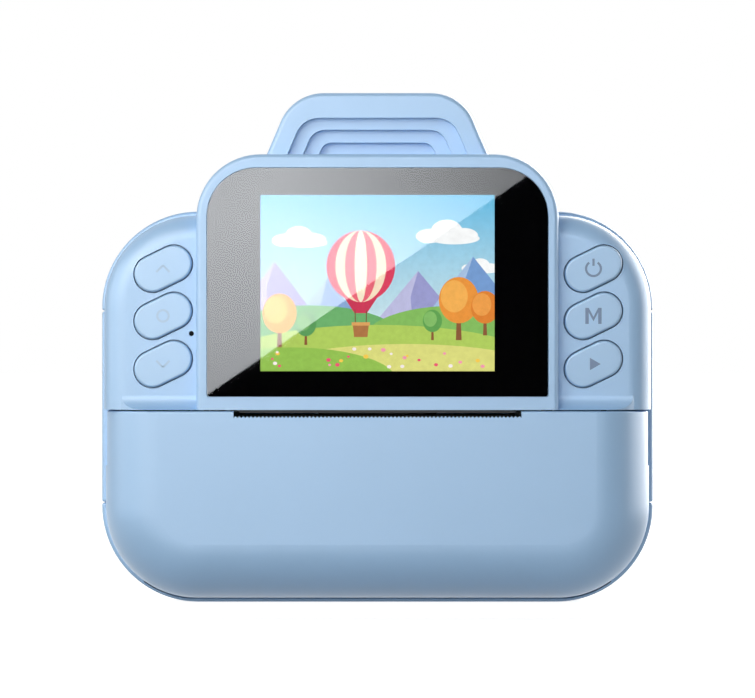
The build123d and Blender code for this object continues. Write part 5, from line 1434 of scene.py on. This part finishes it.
@dataclass
class Studio:
    """The floor, the lamps, the white surroundings and the camera."""

    centre: Vector
    lens: float = 135.0
    distance: float = 0.62
    azimuth: float = 180.0
    floor_drop: float = 0.0038
    stand_half_width: float = 0.044
    world_light: float = 0.31
    key_azimuth: float = 34.0
    key_elevation: float = 26.0
    key_reach: float = 0.46
    key_size: float = 0.34
    key_power: float = 1.18
    reflector_reach: float = 0.62
    reflector_height: float = 0.6
    reflector_start: float = 12.0
    reflector_sweep: float = 98.0
    reflector_glow: float = 4.8
    front_share: float = 1.2
    card_reach: float = 1.2
    card_half: float = 0.6
    glass_slope: float = -0.684
    glass_edge: float = 0.044
    mirror_slope: float = -0.3
    mirror_edge: float = 0.0634
    floor_glow: float = 0.9

    def build(self) -> None:
        """Sets up everything round the object."""
        self.surroundings()
        self.floor()
        self.softbox("Back key", 1)
        self.softbox("Front key", -1)
        self.glass_card()
        self.mirror_card()
        self.reflector("Back reflector", 1)
        self.reflector("Front reflector", -1)
        self.camera()

    def card(self, name: str, side: int, material: bpy.types.Material) -> None:
        """Stands an upright card off one face of the object, seen only in its reflections.

        Args:
            name: The card's name.
            side: 1 for behind the object and -1 for before it.
            material: Its glow.
        """
        bm = bmesh.new()
        bmesh.ops.create_grid(bm, x_segments=1, y_segments=1, size=self.card_half)
        card = self.reflected(name, bm, material)
        card.location = (0.0, side * self.card_reach, self.centre.z)
        card.rotation_euler = (math.pi / 2, 0.0, math.pi if side > 0 else 0.0)

    @staticmethod
    def reflected(name: str, bm: bmesh.types.BMesh, material: bpy.types.Material) -> bpy.types.Object:
        """Puts a mesh in the studio that shows only in reflections.

        Args:
            name: The object's name.
            bm: Its mesh.
            material: Its glow.

        Returns:
            The new object.
        """
        card = placed(name, bm, material)
        card.visible_camera = False
        card.visible_diffuse = False
        card.visible_shadow = False
        card.visible_transmission = False
        card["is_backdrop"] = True
        return card

    def reflector(self, name: str, side: int) -> None:
        """Curves a tall soft reflector round one side, from the camera to past the object's flank.

        Args:
            name: The reflector's name.
            side: 1 for behind the object, towards +X, and -1 for before it, towards -X.
        """
        bm = bmesh.new()
        start = math.radians(self.reflector_start)
        sweep = math.radians(self.reflector_sweep)
        x = side * math.sin(start) * self.reflector_reach
        y = side * math.cos(start) * self.reflector_reach
        ends = [bm.verts.new((x, y, height)) for height in (0.0, self.reflector_height)]
        geometry = [*ends, bm.edges.new(ends)]
        bmesh.ops.spin(bm, geom=geometry, cent=(0, 0, 0), axis=(0, 0, -1), angle=sweep, steps=40)
        graph = Graph(name)
        axes = graph.axes()
        across, along = (graph.math("MULTIPLY", axes[axis], side) for axis in "XY")
        turn = graph.math("ARCTAN2", across, along)
        near = graph.spread(turn, 0.7, 1.0, start, start + sweep * 0.25)
        far = graph.spread(turn, 1.0, 0.0, start + sweep * 0.8, start + sweep)
        upper = graph.spread(axes["Z"], 1.0, 0.0, self.reflector_height * 0.6, self.reflector_height)
        glow = graph.math("MULTIPLY", graph.math("MULTIPLY", near, far), upper)
        strength = self.reflector_glow * (1.0 if side > 0 else self.front_share**2)
        self.reflected(name, bm, graph.shine(graph.math("MULTIPLY", glow, strength)))

    def glass_card(self) -> None:
        """Stands a dark card with one pale half, so that the screen glass shows a slanted sheen."""
        graph = Graph("Glass card")
        axes = graph.axes()
        slope = graph.math("ADD", axes["Y"], graph.math("MULTIPLY", axes["X"], self.glass_slope))
        edge = graph.math("GREATER_THAN", slope, self.glass_edge)
        rise = graph.spread(axes["Y"], 7.4, 12.0, -0.05, 0.08)
        fall = graph.math("MULTIPLY", rise, graph.spread(axes["X"], 1.0, 0.25, -0.06, 0.12))
        glow = graph.shine(graph.math("MULTIPLY", edge, fall), (0.93, 0.96, 1.0, 1.0))
        self.card("glass_card", 1, glow)

    def mirror_card(self) -> None:
        """Stands a graded card, so that the mirror shows a slanted edge between grey and white."""
        graph = Graph("Mirror card")
        axes = graph.axes()
        slope = graph.math("ADD", axes["Y"], graph.math("MULTIPLY", axes["X"], self.mirror_slope))
        above = graph.math("GREATER_THAN", slope, self.mirror_edge)
        upper = graph.spread(axes["X"], 0.62, 0.1, -0.058, 0.035)
        lower = graph.spread(axes["X"], 1.7, 0.02, -0.02, 0.048)
        glow = graph.add("Mix", {0: above, 2: lower, 3: upper}).outputs[0]
        self.card("mirror_card", -1, graph.shine(glow))

    def surroundings(self) -> None:
        """Sets a world that is white to the eye and softer as a light."""
        graph = Graph("Studio", world=True)
        seen = graph.seen()
        tone = graph.ramp(seen, [(0.0, (0.9, 0.95, 1.0)), (1.0, (1.0, 1.0, 1.0))])
        strength = graph.spread(seen, self.world_light, 1.0, 0.0, 1.0)
        background = graph.add("Background", {"Color": tone, "Strength": strength})
        bpy.context.scene.world = graph.surface(background)

    def floor(self) -> None:
        """Lays a wide pale floor that keeps the object's shadow, and a low stand of the same finish.

        The stand is just tall enough for the paper door to swing clear of the floor.
        """
        ground = Piece("floor")
        spot = Matrix.Translation((0.0, 0.0, -self.floor_drop))
        bmesh.ops.create_grid(ground.bm, x_segments=2, y_segments=2, size=6.0, matrix=spot)
        low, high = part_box("chin_cover")
        start = (-self.stand_half_width, low.y + (high.y - low.y) * 0.3, -self.floor_drop)
        end = (self.stand_half_width, high.y - 0.001, low.z - 0.00002)
        ground.box(start, end, 0.0004)
        graph = Graph("Floor")
        speck = graph.ramp(graph.noise(0.3), [(0.3, (0.48, 0.48, 0.48)), (0.7, (0.5, 0.5, 0.5))])
        matt = graph.add("BsdfDiffuse", {"Color": speck})
        glow = graph.add("Emission", {"Strength": graph.math("MULTIPLY", graph.seen(), self.floor_glow)})
        both = graph.add("AddShader", {0: matt.outputs[0], 1: glow.outputs[0]})
        placed(ground.name, ground.bm, graph.surface(both))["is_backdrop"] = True

    def softbox(self, name: str, side: int) -> None:
        """Hangs one large soft lamp, a little above the object, that looks at it.

        Args:
            name: The lamp's name.
            side: 1 for behind the object, towards +X, and -1 for before it, towards -X.
        """
        data = bpy.data.lights.new(name, "AREA")
        data.shape = "SQUARE"
        data.size = self.key_size
        data.energy = self.key_power * (1.0 if side > 0 else self.front_share)
        data.color = (1.0, 0.965, 0.9)
        lamp = bpy.data.objects.new(name, data)
        lamp.visible_camera = False
        lamp.visible_transmission = False
        bpy.context.scene.collection.objects.link(lamp)
        turn = math.radians(self.key_azimuth)
        rise = math.radians(self.key_elevation)
        along = Vector((side * math.sin(turn), side * math.cos(turn), math.tan(rise))).normalized()
        lamp.location = self.centre + along * self.key_reach
        lamp.rotation_euler = along.to_track_quat("Z", "Y").to_euler()

    def camera(self) -> None:
        """Sets the camera square to the back of the object."""
        data = bpy.data.cameras.new("Camera")
        data.lens = self.lens
        data.clip_start, data.clip_end = 0.02, 50.0
        camera = bpy.data.objects.new("Camera", data)
        bpy.context.scene.collection.objects.link(camera)
        turn = math.radians(self.azimuth)
        away = Vector((math.sin(turn), -math.cos(turn), 0.0))
        camera.location = self.centre + away * self.distance
        camera.rotation_euler = away.to_track_quat("Z", "Y").to_euler()
        bpy.context.scene.camera = camera


def main() -> None:
    """Builds the dressed object and its studio."""
    logging.basicConfig(level=logging.INFO, format="%(name)s: %(message)s")
    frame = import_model()
    low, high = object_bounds()
    bpy.context.scene.view_settings.view_transform = "Standard"
    Studio((low + high) / 2).build()
    Skins().dress(frame)
    for assembly in (Display(), KeySigns(), LensInside(), Ports(), BoardParts()):
        assembly.build()
        LOG.info("built %s", type(assembly).__name__)


if __name__ == "__main__":
    main()
